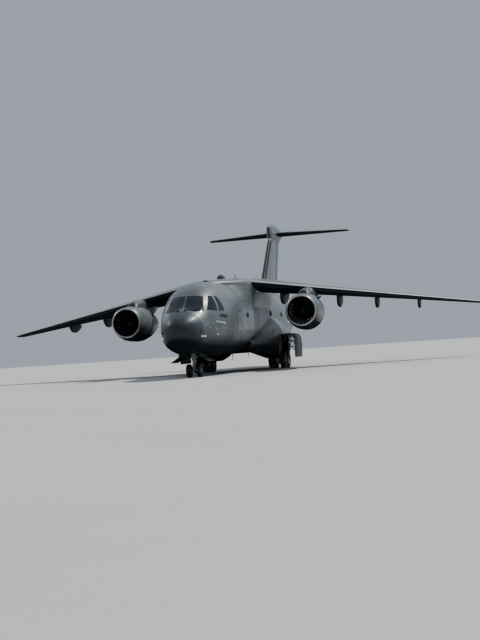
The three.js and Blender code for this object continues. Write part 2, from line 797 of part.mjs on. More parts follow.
function crewDoorTool(amount) {
  const { start, end, low, high } = CREW_DOOR;
  return block(700, start - amount, low - amount, 3000, end + amount, high + amount);
}

// Floors and what stands on them
const HOLD_FLOOR = { start: 4200, bottom: 1500, top: 1660 };
const SEAT = { x: 520, station: 3250 };

function holdFloor() {
  const slab = block(-2400, HOLD_FLOOR.start, HOLD_FLOOR.bottom, 2400, REAR_START + 90, HOLD_FLOOR.top);
  return slab.intersect(hull(RADOME_END, CONE_START, WALL + SEAT_GAP));
}

function cockpitFloor() {
  const inside = hull(RADOME_END, COCKPIT_END, WALL + SEAT_GAP);
  const slab = block(-2400, RADOME_END + 300, COCKPIT_FLOOR_Z, 2400, COCKPIT_END - 30, COCKPIT_FLOOR_Z + 90);
  const bulkhead = block(-2400, COCKPIT_END - 110, COCKPIT_FLOOR_Z, 2400, COCKPIT_END - 30, 6500);
  const doorway = block(-380, COCKPIT_END - 300, COCKPIT_FLOOR_Z + 90, 380, COCKPIT_END + 100, 4990);
  const panelOutline = [
    [1720, COCKPIT_FLOOR_Z + 60],
    [1720, 3700],
    [2000, 3820],
    [2330, 3800],
    [2180, 3420],
    [2120, COCKPIT_FLOOR_Z + 60],
  ];
  const panel = sidePrism(panelOutline, -1500, 1500);
  const pedestal = block(-190, 2100, COCKPIT_FLOOR_Z + 60, 190, 3250, 3560);
  const seats = [-1, 1].map((side) => {
    const x = side * SEAT.x;
    const base = block(x - 180, SEAT.station - 180, COCKPIT_FLOOR_Z + 60, x + 180, SEAT.station + 200, 3420);
    const pan = block(x - 250, SEAT.station - 260, 3400, x + 250, SEAT.station + 260, 3540);
    const backOutline = [
      [SEAT.station + 200, 3480],
      [SEAT.station + 330, 3480],
      [SEAT.station + 520, 4480],
      [SEAT.station + 400, 4480],
    ];
    return join(base, pan, sidePrism(backOutline, x - 240, x + 240));
  });
  const stairWell = block(420, CREW_DOOR.start, COCKPIT_FLOOR_Z - 50, 2400, CREW_DOOR.end, COCKPIT_FLOOR_Z + 100);
  return cut(join(slab, bulkhead, panel, pedestal, ...seats).intersect(inside), doorway, stairWell);
}

// Satellite antenna cover on the wing centre section
const DOME = { station: 11500, z: 6255, radius: 330, height: 370 };

function antennaCover() {
  const profile = [];
  for (let i = 0; i < 5; i++) {
    const turn = (i / 5) * (Math.PI / 2);
    profile.push(new THREE.Vector2(DOME.radius * Math.cos(turn), DOME.height * Math.sin(turn)));
  }
  const ends = [new THREE.Vector2(0, -60), new THREE.Vector2(DOME.radius, -60)];
  const dome = new THREE.LatheGeometry([...ends, ...profile, new THREE.Vector2(0, DOME.height)], 16);
  const spot = at(0, DOME.station, DOME.z);
  return cut(solid(dome.rotateX(Math.PI / 2).translate(spot.x, spot.y, spot.z)), wingCentre(SEAT_GAP));
}

// Assembly of the fuselage
const cockpitWall = shell(RADOME_END, COCKPIT_END);
const rearWall = shell(REAR_START, CONE_START);
const windowCuts = paneTools(0);
const noseWell = block(-NOSE_WELL.half, NOSE_WELL.start, 0, NOSE_WELL.half, NOSE_WELL.end, 2200);
const wingRecess = wingCentre(SEAT_GAP);

place("radome", hull(0, RADOME_END - SEAT_GAP, 0), DARK_PAINT);
place(
  "cockpit_section",
  cut(cockpitWall, ...windowCuts, ...windowCuts.map(mirror), noseWell, crewDoorTool(MOVE_GAP)),
  PAINT,
);
place("forward_fuselage", cut(shell(COCKPIT_END + SEAT_GAP, WING_SECTION_START), wingRecess), PAINT);
place("centre_fuselage", cut(shell(WING_SECTION_START + SEAT_GAP, REAR_START), wingRecess), PAINT);
const rearCuts = [rampTool(MOVE_GAP, CUT_HEIGHT), upperDoorTool(MOVE_GAP, 80)];
place("rear_fuselage", cut(shell(REAR_START + SEAT_GAP, CONE_START), ...rearCuts), PAINT);
place("tail_cone", hull(CONE_START + SEAT_GAP, 34000, 0), PAINT);
place("wing_centre", wingCentre(0), PAINT);
place("antenna_cover", antennaCover(), DARK_PAINT);
place("cargo_floor", holdFloor(), CABIN_GREY);
place("cockpit_floor", cockpitFloor(), CABIN_GREY);

["left", "right"].forEach((side) => {
  const turned = (shape) => (side === "left" ? shape : mirror(shape));
  const tracks = (rear) => TRACKS.map(([x, depth, half]) => trackFairing(x, depth, half, rear));
  place(`wing_${side}`, turned(join(leftWing(), ...tracks(false))), PAINT);
  const flap = wingLength(FLAP_SPAN[0], FLAP_SPAN[1], "hinged");
  place(`flap_${side}`, turned(join(flap, ...tracks(true))), PAINT);
  place(`aileron_${side}`, turned(wingLength(AILERON_SPAN[0], AILERON_SPAN[1], "hinged")), PAINT);
  place(`pylon_${side}`, turned(pylon()), PAINT);
  place(`nacelle_${side}`, turned(nacelle()), PAINT);
  place(`fan_${side}`, turned(fan()), DARK_METAL);
  place(`engine_core_${side}`, turned(engineCore()), DARK_METAL);
  place(`sponson_${side}`, turned(sponson()), PAINT);
  place(`main_gear_leg_${side}`, turned(mainLeg()), GEAR_WHITE);
  ["front", "rear"].forEach((end) => {
    const station = GEAR_STATION + ((end === "front" ? -1 : 1) * AXLE_SPREAD) / 2;
    const wheels = wheelPair(at(GEAR_X, station, 560), 810, 560, 400, MAIN_AXLE_RADIUS);
    place(`main_wheels_${side}_${end}`, turned(wheels), TYRE);
  });
  place(`main_gear_door_${side}`, turned(mainDoor()), PAINT);
  place(`nose_gear_door_${side}`, turned(noseDoor()), PAINT);
  const [low, high] = ELEVATOR_SPAN;
  place(`elevator_${side}`, turned(surfaceLength(TAILPLANE, low, high, "hinged", ELEVATOR_SHARE, tailPoint)), PAINT);
  const glassLayer = cut(hull(RADOME_END, COCKPIT_END, PANE_DEPTH[0]), hull(RADOME_END, COCKPIT_END, PANE_DEPTH[1], 1));
  paneTools(-SEAT_GAP).forEach((tool, i) => {
    const names = ["windscreen", "side_window_front", "side_window_rear"];
    place(`${names[i]}_${side}`, turned(glassLayer.intersect(tool)), GLASS);
  });
});

const stabHalf = (() => {
  const [low, high] = ELEVATOR_SPAN;
  const inner = surfaceLength(TAILPLANE, 0, low - END_GAP, "whole", ELEVATOR_SHARE, tailPoint);
  const middle = surfaceLength(TAILPLANE, low - END_GAP - 5, high + END_GAP + 5, "fixed", ELEVATOR_SHARE, tailPoint);
  const tip = surfaceLength(TAILPLANE, high + END_GAP, 6120, "whole", ELEVATOR_SHARE, tailPoint);
  return join(inner, middle, tip);
})();
const tailSlot = surfaceLength(TAILPLANE, 0, 610, "whole", ELEVATOR_SHARE, tailPoint, SEAT_GAP);
place("fin", cut(join(fin(), bullet()), tailSlot, mirror(tailSlot)), PAINT);
place("rudder", surfaceLength(FIN, RUDDER_SPAN[0], RUDDER_SPAN[1], "hinged", RUDDER_SHARE, finPoint), PAINT);
place("tailplane", join(stabHalf, mirror(stabHalf)), PAINT);

place("nose_gear_leg", noseLeg(), GEAR_WHITE);
place("nose_gear_fork", noseFork(), GEAR_WHITE);
const noseAxle = at(0, NOSE_GEAR_STATION, NOSE_WHEEL_RADIUS);
place("nose_wheels", wheelPair(noseAxle, 650, NOSE_WHEEL_RADIUS, 250, NOSE_AXLE_RADIUS), TYRE);

place("crew_door", cockpitWall.intersect(crewDoorTool(0)), PAINT);
place("cargo_ramp", hull(REAR_START, CONE_START, 0).intersect(rampTool(0, RAMP_DECK)), PAINT);
place("upper_cargo_door", rearWall.intersect(upperDoorTool(0, 0)), PAINT);

export default plane;
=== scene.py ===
# Looks of a military transport plane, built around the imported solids.
# Lengths are in metres. +Z is up, -Y is the nose and +X is the aircraft's left.
# A station is a distance aft of the nose tip.
import math
import bmesh
import bpy
from mathutils import Matrix, Vector


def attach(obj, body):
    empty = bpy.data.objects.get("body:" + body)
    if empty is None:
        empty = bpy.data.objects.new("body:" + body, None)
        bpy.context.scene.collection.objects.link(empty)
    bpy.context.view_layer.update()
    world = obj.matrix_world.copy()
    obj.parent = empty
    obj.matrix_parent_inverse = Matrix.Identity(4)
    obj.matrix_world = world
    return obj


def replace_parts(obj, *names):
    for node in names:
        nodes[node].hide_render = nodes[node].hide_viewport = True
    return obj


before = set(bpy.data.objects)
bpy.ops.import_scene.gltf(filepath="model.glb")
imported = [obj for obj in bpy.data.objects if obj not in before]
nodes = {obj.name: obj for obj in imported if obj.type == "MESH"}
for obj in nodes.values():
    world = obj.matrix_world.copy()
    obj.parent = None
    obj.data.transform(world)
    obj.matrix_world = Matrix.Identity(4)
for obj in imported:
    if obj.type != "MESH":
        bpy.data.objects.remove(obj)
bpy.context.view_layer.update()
SIDES = (("left", 1), ("right", -1))


def placed(name, data):
    made = bpy.data.objects.new(name, data)
    bpy.context.collection.objects.link(made)
    return made


# Camera
CAMERA_PLACE = Vector((17.21, -77.66, 1.403))
YAW, PITCH, ROLL = (math.radians(a) for a in (12.677, 1.595, 3.798))
LENS, SENSOR_WIDTH, FAR_CLIP = 61.75, 36, 2000

forward = Vector((-math.sin(YAW) * math.cos(PITCH), math.cos(YAW) * math.cos(PITCH), math.sin(PITCH)))
level_right = Vector((math.cos(YAW), math.sin(YAW), 0))
level_up = level_right.cross(forward)
right = math.cos(ROLL) * level_right - math.sin(ROLL) * level_up
up = math.sin(ROLL) * level_right + math.cos(ROLL) * level_up
camera = placed("camera", bpy.data.cameras.new("camera"))
camera.data.lens = LENS
camera.data.sensor_width = SENSOR_WIDTH
camera.data.clip_end = FAR_CLIP
turn = Matrix((right, up, -forward)).transposed().to_4x4()
camera.matrix_world = Matrix.Translation(CAMERA_PLACE) @ turn
bpy.context.scene.camera = camera

# Measurements shared with the solids
HALF_LENGTH = 17.6
# Columns: station, half width, bottom height, top height, squareness above and below the middle
HULL = [
    (0, 0.04, 2.76, 2.84, 2, 2),
    (0.06, 0.3, 2.5, 3.08, 2, 2),
    (0.26, 0.64, 2.19, 3.33, 2, 2.1),
    (0.65, 0.97, 1.88, 3.6, 2.05, 2.2),
    (1.2, 1.28, 1.63, 3.89, 2.05, 2.35),
    (1.7, 1.47, 1.5, 4.18, 2.05, 2.5),
    (2.5, 1.69, 1.37, 4.83, 2.05, 2.6),
    (3.3, 1.87, 1.3, 5.29, 2.05, 2.7),
    (4.2, 2.02, 1.25, 5.62, 2.05, 2.8),
    (5.3, 2.17, 1.215, 5.79, 2.05, 3.2),
    (6.8, 2.29, 1.21, 5.86, 2.05, 3.1),
    (8.5, 2.33, 1.21, 5.87, 2.1, 3),
    (21.5, 2.33, 1.21, 5.87, 2.1, 3),
    (24, 2.32, 1.61, 5.87, 2.1, 3),
    (26.5, 2.23, 2.37, 5.87, 2.1, 2.8),
    (29, 1.95, 3.23, 5.83, 2.05, 2.5),
    (31.2, 1.5, 3.98, 5.74, 2, 2.2),
    (33, 0.93, 4.56, 5.6, 2, 2),
    (34, 0.38, 4.9, 5.42, 2, 2),
]
# Span position and station of the root of the wing's leading edge, and its run aft per metre of span
WING_LEAD = (2.35, 10.79, 0.403)
# Station and height of the foot of the fin's leading edge, and its run aft per metre of height
FIN_EDGE = (24.244, 5.5, 1.0466)
ENGINE_X, ENGINE_STATION, ENGINE_Z = 5.8, 8.29, 3.69
FAN_FACE, FAN_RADIUS, HUB_RADIUS = 0.98, 0.805, 0.245
GEAR_X, GEAR_STATION, AXLE_SPREAD = 2.74, 16.17, 1.32
NOSE_GEAR_STATION, NOSE_WHEEL_RADIUS = 3.25, 0.4


def at(x, station, z):
    return Vector((x, station - HALF_LENGTH, z))


# Reads a table at a position, along a smooth curve through its rows that never overshoots them
def row_at(table, position):
    last = len(table) - 1
    i = next((k for k in range(1, last) if table[k][0] >= position), last)
    span = table[i][0] - table[i - 1][0]
    t = min(1.0, max(0.0, (position - table[i - 1][0]) / span))

    def slope(k, column):
        sides = [(table[j + 1][column] - table[j][column]) / (table[j + 1][0] - table[j][0])
                 for j in (k - 1, k) if 0 <= j < last]
        if len(sides) == 1:
            return sides[0]
        return 0.0 if sides[0] * sides[1] <= 0 else 2 * sides[0] * sides[1] / (sides[0] + sides[1])

    row = [position]
    for column in range(1, len(table[0])):
        a, b = table[i - 1][column], table[i][column]
        m, n = slope(i - 1, column) * span, slope(i, column) * span
        row.append(a + t * (m + t * (3 * (b - a) - 2 * m - n + t * (2 * (a - b) + m + n))))
    return row


# The fuselage's section at a station: half width, middle, half height, and the two powers of its curve
def hull_section(station):
    _, half, bottom, top, power, low_power = row_at(HULL, station)
    return half, (bottom + top) / 2, (top - bottom) / 2, power, low_power


# Share of a section's half size past which a place is read as just inside its edge
NEAR_EDGE = 0.9999


# A point of the fuselage's skin at a height, on the left side unless side is -1
def skin(station, z, side=1, lift=0.0):
    half, middle, tall, power, low_power = hull_section(station)
    share = min(NEAR_EDGE, abs(z - middle) / tall)
    p = power if z > middle else low_power
    x = half * (1 - share ** p) ** (1 / p)
    out = Vector((x / half ** 2 * tall, 0, (z - middle) / tall)).normalized()
    return at(side * (x + out.x * lift), station, z + out.z * lift)


# The height of the skin's top at a place across it, or of its bottom
def skin_top(station, x, below=False):
    half, middle, tall, power, low_power = hull_section(station)
    p = low_power if below else power
    rise = tall * (1 - min(NEAR_EDGE, abs(x) / half) ** p) ** (1 / p)
    return middle - rise if below else middle + rise


# Materials
class Look:
    """A procedural material under construction."""

    def __init__(self, name):
        self.material = bpy.data.materials.new(name)
        self.material.use_nodes = True
        self.tree = self.material.node_tree
        self.shader = self.tree.nodes["Principled BSDF"]
        self.place = self.node("ShaderNodeTexCoord").outputs["Object"]

    def node(self, kind, **settings):
        made = self.tree.nodes.new(kind)
        for key, value in settings.items():
            setattr(made, key, value)
        return made

    def feed(self, socket, value):
        if isinstance(value, bpy.types.NodeSocket):
            self.tree.links.new(value, socket)
        else:
            socket.default_value = value

    def math(self, operation, a, b=0.0, c=0.0):
        made = self.node("ShaderNodeMath", operation=operation)
        for socket, value in zip(made.inputs, (a, b, c)):
            self.feed(socket, value)
        return made.outputs[0]

    def times(self, a, b):
        return self.math("MULTIPLY", a, b)

    def minus(self, a, b):
        return self.math("SUBTRACT", a, b)

    def larger(self, a, b):
        return self.math("MAXIMUM", a, b)

    def size(self, value):
        return self.math("ABSOLUTE", value)

    # 1 where a value is under a limit, 0 elsewhere
    def under(self, value, limit):
        return self.math("LESS_THAN", value, limit)

    def split(self, vector):
        made = self.node("ShaderNodeSeparateXYZ")
        self.feed(made.inputs[0], vector)
        return made.outputs

    # The place on the object, as x, y and z
    def parts(self):
        return self.split(self.place)

    # How far the face looks to the side, aft and up, each from -1 to 1
    def slopes(self):
        return self.split(self.node("ShaderNodeNewGeometry").outputs["Normal"])

    def noise(self, scale, detail=4.0, stretch=(1, 1, 1), rough=0.55):
        mapping = self.node("ShaderNodeMapping")
        self.feed(mapping.inputs["Vector"], self.place)
        mapping.inputs["Scale"].default_value = stretch
        made = self.node("ShaderNodeTexNoise")
        self.feed(made.inputs["Vector"], mapping.outputs[0])
        made.inputs["Scale"].default_value = scale
        made.inputs["Detail"].default_value = detail
        made.inputs["Roughness"].default_value = rough
        return made.outputs[0]

    def range(self, value, low, high, to_low, to_high):
        made = self.node("ShaderNodeMapRange")
        for socket, number in zip(made.inputs, (value, low, high, to_low, to_high)):
            self.feed(socket, number)
        return made.outputs[0]

    def mix(self, share, a, b):
        made = self.node("ShaderNodeMix", data_type="RGBA")
        self.feed(made.inputs[0], share)
        for socket, colour in ((made.inputs[6], a), (made.inputs[7], b)):
            if not isinstance(colour, bpy.types.NodeSocket):
                colour = (*colour, 1) if len(colour) == 3 else colour
            self.feed(socket, colour)
        return made.outputs[2]

    def bump(self, height, distance, strength=1.0):
        made = self.node("ShaderNodeBump")
        made.inputs["Distance"].default_value = distance
        made.inputs["Strength"].default_value = strength
        self.feed(made.inputs["Height"], height)
        self.feed(self.shader.inputs["Normal"], made.outputs[0])

    def set(self, **values):
        for key, value in values.items():
            self.feed(self.shader.inputs[key.replace("_", " ")], value)

    # 1 on a line across a value at each of some places, 0 elsewhere
    def lines(self, value, places, width):
        whole = None
        for place in places:
            line = self.under(self.size(self.minus(value, place)), width / 2)
            whole = line if whole is None else self.larger(whole, line)
        return whole

    # 1 on lines at a regular pitch
    def pitch_lines(self, value, pitch, width):
        return self.under(self.math("PINGPONG", value, pitch / 2), width / 2)


# Share of painted shade: rises from 0 on faces that look level or up to 1 on those that look down,
# and, between two heights where they are given, from 0 to 1 downwards
def belly_shade(look, heights=None):
    share = look.range(look.slopes()[2], 0.05, -0.7, 0, 1)
    if heights:
        share = look.larger(share, look.range(look.parts()[2], heights[0], heights[1], 0, 1))
    return share


# 1 on faces that look forward, which get painted shade
def front_shade(look, start, end):
    return look.range(look.slopes()[1], start, end, 0, 1)


# 1 on faces that look to either side, where the wing gets painted shade
def sideways_shade(look):
    return look.range(look.size(look.slopes()[0]), 0.3, 0.6, 0, 1)


def shade(colour, share):
    return tuple(min(1, c * share) for c in colour)


GREY = (0.105, 0.126, 0.14)
DARK_GREY = (0.07, 0.086, 0.102)
# Light colour of the band at the wing's leading edge: bare metal and a painted highlight
EDGE_METAL_HIGHLIGHT = (0.5, 0.51, 0.52)
# Shares of a paint's own colour: patches, streaks of grime, panel lines, and the painted shade on undersides
# and other shaded faces
DARK_PATCH, LIGHT_PATCH, GRIME, LINE, PAINTED_SHADE = 0.74, 1.16, 0.55, 0.3, 0.06
# Slopes between which a face that looks forward turns dark with painted shade, on the hull and on the thin wing
HULL_FRONT, WING_FRONT = (-0.25, -0.6), (-0.55, -0.8)


# Weathered paint. Grime lies in streaks, and lines are drawn and sunk. Faces that look down or, where asked,
# lie low, look forward or lie in a marked area get painted shade: they turn dark and dull.
def painted(name, colour, rough=0.36, line_maker=None, dirt=0.5, coat=0.25, belly=0.92, edge_highlight_maker=None,
            heights=None, shade_maker=None, front=0.0, front_range=HULL_FRONT, shine=0.5):
    look = Look(name)
    broad = look.noise(0.55, 5)
    streak = look.noise(1.4, 6, stretch=(1, 0.35, 0.12))
    fine = look.noise(38, 3)
    patches = look.range(broad, 0.35, 0.65, 0, 1)
    base = look.mix(patches, shade(colour, DARK_PATCH), shade(colour, LIGHT_PATCH))
    grime = look.times(look.range(streak, 0.5, 0.75, 0, 1), dirt)
    base = look.mix(grime, base, shade(colour, GRIME))
    # Painted highlight: a light metal band where the edge maker asks for it
    if edge_highlight_maker:
        base = look.mix(look.times(edge_highlight_maker(look), 0.75), base, EDGE_METAL_HIGHLIGHT)
    height = look.times(fine, 0.12)
    if line_maker:
        marks = line_maker(look)
        base = look.mix(look.times(marks, 0.62), base, shade(colour, LINE))
        height = look.minus(height, marks)
    # Painted shade: dark, dull colour on faces that look down, low places, forward faces and marked areas
    if belly:
        share = belly_shade(look, heights)
        if shade_maker:
            share = look.larger(share, look.times(shade_maker(look), 0.8))
        if front:
            share = look.larger(share, look.times(front_shade(look, *front_range), front))
        share = look.times(share, belly)
        base = look.mix(share, base, shade(colour, PAINTED_SHADE))
        coat = look.range(share, 0, 0.7, coat, 0.0)
        shine = look.range(share, 0, 0.8, shine, 0.0)
    look.set(Coat_Weight=coat, Specular_IOR_Level=shine)
    look.set(Base_Color=base, Metallic=0.0, Coat_Roughness=0.12)
    look.set(Roughness=look.range(streak, 0.3, 0.7, rough - 0.07, rough + 0.12))
    look.bump(height, 0.004, 0.35)
    return look.material


# Stations of the joins round the hull, and heights of those along it
HULL_RINGS = (2.0, 2.9, 3.9, 5.3, 6.9, 8.3, 9.6, 11.3, 13.4, 15.5, 17.6, 19.6, 21.5, 23.6, 25.6, 27.6,
              29.4, 31.2)
HULL_RUNS = (1.75, 2.6, 3.55, 4.5, 5.35)


def hull_lines(look):
    _, y, z = look.parts()
    rings = look.lines(y, [station - HALF_LENGTH for station in HULL_RINGS], 0.028)
    return look.larger(rings, look.lines(z, HULL_RUNS, 0.024))


# Where the wing's leading edge would meet the middle of the aircraft
WING_START = WING_LEAD[1] - WING_LEAD[2] * WING_LEAD[0] - HALF_LENGTH


# Distance out along the wing, and the place along it with the sweep taken out
def on_wing(look):
    x, y, _ = look.parts()
    side = look.size(x)
    return side, look.minus(y, look.times(side, WING_LEAD[2]))


# The slat's edge, two spars and the joins between skin panels
def wing_lines(look):
    side, aft = on_wing(look)
    slat = look.lines(aft, (WING_START + 0.62,), 0.022)
    spars = look.lines(aft, (WING_START + 1.5, WING_START + 2.4), 0.012)
    ribs = look.lines(side, (3.6, 5.1, 6.6, 8.6, 10.6, 12.86, 14.9, 16.6), 0.016)
    return look.larger(look.larger(slat, spars), ribs)


# 1 on the light band at the wing's leading edge, bare metal and a painted highlight, 0 where its face looks
# ahead
def wing_edge_highlight(look):
    _, aft = on_wing(look)
    band = look.range(aft, WING_START + 0.1, WING_START + 0.16, 1, 0)
    return look.times(band, look.minus(1.0, front_shade(look, *WING_FRONT)))


# 1 on the leading edge of the fin, below its bullet, which gets painted shade
def fin_edge_shade(look):
    _, y, z = look.parts()
    foot_station, foot_z, sweep = FIN_EDGE
    rise = look.times(look.minus(z, foot_z), sweep)
    aft = look.minus(look.minus(y, foot_station - HALF_LENGTH), rise)
    return look.times(look.range(aft, 0.24, 0.32, 1, 0), look.under(z, 10.4))


# 1 on the edges of the sponson round the main wheels, which get painted shade
def wheel_bay_shade(look):
    _, y, z = look.parts()
    near = look.under(look.size(look.minus(y, GEAR_STATION - HALF_LENGTH)), 1.7)
    return look.times(near, look.under(z, 2.28))


def tail_lines(look):
    x, _, z = look.parts()
    ribs = look.lines(look.size(x), (1.7, 2.9, 4.3, 5.9), 0.014)
    return look.larger(ribs, look.lines(z, (6.62, 7.5, 8.6, 9.6, 10.26), 0.014))


# Heights, front shares and shade makers below set where each paint gets painted shade
paint_hull = painted("hull_paint", GREY, line_maker=hull_lines, heights=(3.2, 1.2), front=0.3, coat=0.18,
                     shine=0.4)
paint_wing = painted("wing_paint", GREY, coat=0.1, rough=0.42, line_maker=wing_lines, edge_highlight_maker=wing_edge_highlight,
                     shade_maker=sideways_shade, front=0.95, front_range=WING_FRONT)
paint_tail = painted("tail_paint", GREY, line_maker=tail_lines, shade_maker=fin_edge_shade, front=0.95,
                     front_range=(-0.45, -0.8))
paint_fairing = painted("fairing_paint", GREY, line_maker=hull_lines, belly=0.0)
paint_sponson = painted("sponson_paint", GREY, line_maker=hull_lines, heights=(2.9, 1.5), front=0.9,
                        shade_maker=wheel_bay_shade, front_range=(-0.12, -0.4))
paint_dark = painted("dark_paint", DARK_GREY, rough=0.42, dirt=0.3, heights=(3.3, 1.1), front=0.6, coat=0.1,
                     shine=0.3)
paint_dome = painted("dome_paint", (0.05, 0.056, 0.064), rough=0.75, dirt=0.3, coat=0.0)
# Pylon paint darker than the hull: painted shade under the wing
paint_pylon_shaded = painted("pylon_paint_shaded", (0.05, 0.058, 0.066), rough=0.4, dirt=0.4, front=0.6)
# Main gear door paint, near black: painted shade
paint_door_shaded = painted("door_paint_shaded", (0.045, 0.053, 0.06), rough=0.6, dirt=0.5, coat=0.0, shine=0.1)
paint_plain = painted("plain_paint", GREY, dirt=0.6, front=0.6)
gear_paint = painted("gear_paint", (0.22, 0.23, 0.225), rough=0.4, dirt=0.7)
link_paint = painted("link_paint", (0.035, 0.037, 0.04), rough=0.6, dirt=0.3, coat=0.0, shine=0.2)


# Paint with a bare metal lip at the front, painted shade on its underside, and near black painted shade inside
# the duct
def nacelle_paint():
    look = Look("nacelle_paint")
    x, y, z = look.parts()
    aft = look.minus(y, ENGINE_STATION - HALF_LENGTH)
    across = look.minus(look.size(x), ENGINE_X)
    rise = look.minus(z, ENGINE_Z)
    radius = look.math("SQRT", look.math("ADD", look.times(across, across), look.times(rise, rise)))
    broad = look.noise(0.9, 5)
    streak = look.noise(2.2, 6, stretch=(1, 0.25, 1))
    base = look.mix(look.range(broad, 0.35, 0.65, 0, 1), shade(GREY, 0.78), shade(GREY, 1.15))
    base = look.mix(look.times(look.range(streak, 0.5, 0.75, 0, 1), 0.5), base, shade(GREY, 0.5))
    joins = look.lines(aft, (0.55, 1.35, 2.6, 3.9, 4.45), 0.016)
    seam = look.lines(x, (-ENGINE_X, ENGINE_X), 0.02)
    marks = look.larger(joins, seam)
    base = look.mix(look.times(marks, 0.6), base, shade(GREY, LINE))
    # Painted shade on the underside
    share = look.times(belly_shade(look), 0.92)
    base = look.mix(share, base, shade(GREY, PAINTED_SHADE))
    # Painted shade: near black inside the duct
    inside = look.under(radius, 0.9)
    lip = look.under(aft, 0.05)
    inner = look.times(inside, look.math("GREATER_THAN", aft, 0.012))
    metal = look.mix(look.range(broad, 0.3, 0.7, 0, 1), (0.3, 0.3, 0.3), (0.46, 0.46, 0.46))
    base = look.mix(lip, base, metal)
    base = look.mix(inner, base, (0.012, 0.012, 0.013))
    bare = look.times(lip, look.minus(1.0, inner))
    look.set(Base_Color=base, Metallic=look.times(bare, 0.85))
    look.set(Specular_IOR_Level=look.range(share, 0, 0.8, 0.5, 0.0))
    look.set(Roughness=look.range(streak, 0.3, 0.7, 0.27, 0.46))
    look.bump(look.minus(look.times(look.noise(38, 3), 0.12), marks), 0.004, 0.35)
    return look.material


def glassy():
    look = Look("cockpit_glass")
    film = look.noise(2.5, 3)
    base = look.mix(look.range(film, 0.3, 0.7, 0, 1), (0.008, 0.013, 0.018), (0.016, 0.024, 0.032))
    look.set(Base_Color=base, Roughness=look.range(film, 0.3, 0.7, 0.05, 0.12), Coat_Weight=0.1)
    look.set(Specular_IOR_Level=0.28, Transmission_Weight=0.2)
    return look.material


def rubber():
    look = Look("tyre_rubber")
    dust = look.noise(5, 5)
    fine = look.noise(60, 3)
    base = look.mix(look.range(dust, 0.4, 0.7, 0, 1), (0.011, 0.011, 0.012), (0.035, 0.034, 0.032))
    look.set(Base_Color=base, Roughness=look.range(dust, 0.3, 0.7, 0.7, 0.9))
    look.bump(fine, 0.002, 0.4)
    return look.material


def metal(name, dark, light, rough):
    look = Look(name)
    brush = look.noise(9, 5, stretch=(1, 1, 6))
    look.set(Base_Color=look.mix(look.range(brush, 0.3, 0.7, 0, 1), dark, light), Metallic=0.85)
    look.set(Roughness=look.range(brush, 0.3, 0.7, rough - 0.08, rough + 0.1))
    look.bump(brush, 0.001, 0.3)
    return look.material


def lining():
    look = Look("cabin_lining")
    cloth = look.noise(3, 5)
    x, y, _ = look.parts()
    seams = look.larger(look.pitch_lines(y, 1.0, 0.02), look.pitch_lines(x, 0.8, 0.015))
    base = look.mix(look.range(cloth, 0.3, 0.7, 0, 1), (0.1, 0.11, 0.11), (0.16, 0.17, 0.17))
    base = look.mix(look.times(seams, 0.6), base, (0.03, 0.03, 0.03))
    look.set(Base_Color=base, Roughness=look.range(cloth, 0.3, 0.7, 0.55, 0.8))
    look.bump(look.noise(45, 3), 0.002, 0.3)
    return look.material


glass = glassy()
tyre_rubber = rubber()
steel = metal("dark_steel", (0.06, 0.06, 0.065), (0.14, 0.14, 0.15), 0.4)
# Fan titanium near black: painted shade inside the intake
shaded_titanium = metal("fan_titanium", (0.02, 0.02, 0.022), (0.05, 0.05, 0.052), 0.4)
bright = metal("bright_steel", (0.45, 0.45, 0.46), (0.66, 0.66, 0.66), 0.25)
hose_black = painted("hose_black", (0.03, 0.03, 0.032), rough=0.6, dirt=0.2, coat=0.0)
cabin = lining()
nacelle_look = nacelle_paint()


# Words in a node's name, and the material for it. The first row that fits counts.
LOOKS = (
    (("antenna",), paint_dome),
    (("radome",), paint_dark),
    (("wing_left", "wing_right", "flap", "aileron"), paint_wing),
    (("fin", "rudder", "tailplane", "elevator"), paint_tail),
    (("nacelle",), nacelle_look),
    (("engine", "fan"), steel),
    (("leg", "fork"), gear_paint),
    (("wheels",), tyre_rubber),
    (("windscreen", "side_window"), glass),
    (("floor",), cabin),
    (("gear_door",), paint_door_shaded),
    (("pylon",), paint_plain),
    (("wing_centre",), paint_fairing),
    (("sponson",), paint_sponson),
)


def look_for(name):
    for words, look in LOOKS:
        if any(word in name for word in words):
            return look
    return paint_hull


for name, thing in nodes.items():
    thing.data.materials.clear()
    thing.data.materials.append(look_for(name))


# Shapes
# A mesh with all its faces turned outwards
def closed_mesh(name, verts, faces):
    mesh = bpy.data.meshes.new(name)
    mesh.from_pydata([tuple(v) for v in verts], [], faces)
    fixed = bmesh.new()
    fixed.from_mesh(mesh)
    bmesh.ops.recalc_face_normals(fixed, faces=fixed.faces)
    fixed.to_mesh(mesh)
    fixed.free()
    return mesh


def smooth_below(mesh, angle):
    mesh.shade_smooth()
    mesh.set_sharp_from_angle(angle=math.radians(angle))


def piece(name, verts, faces, material, body, slot=None, smooth=35):
    mesh = closed_mesh(name, verts, faces)
    made = placed(name, mesh)
    mesh.materials.append(material)
    smooth_below(mesh, smooth)
    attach(made, body)
    return made


def circle(centre, side, other, radius, sides):
    turns = (2 * math.pi * i / sides for i in range(sides))
    return [centre + (side * math.cos(t) + other * math.sin(t)) * radius for t in turns]


# Positions at equal steps from a start over a span
def spread(start, span, count):
    return [start + span * i / (count - 1) for i in range(count)]


# A direction that no tube follows, to set its rings square to its path
SLANT = Vector((0.13, 0.31, 0.94))


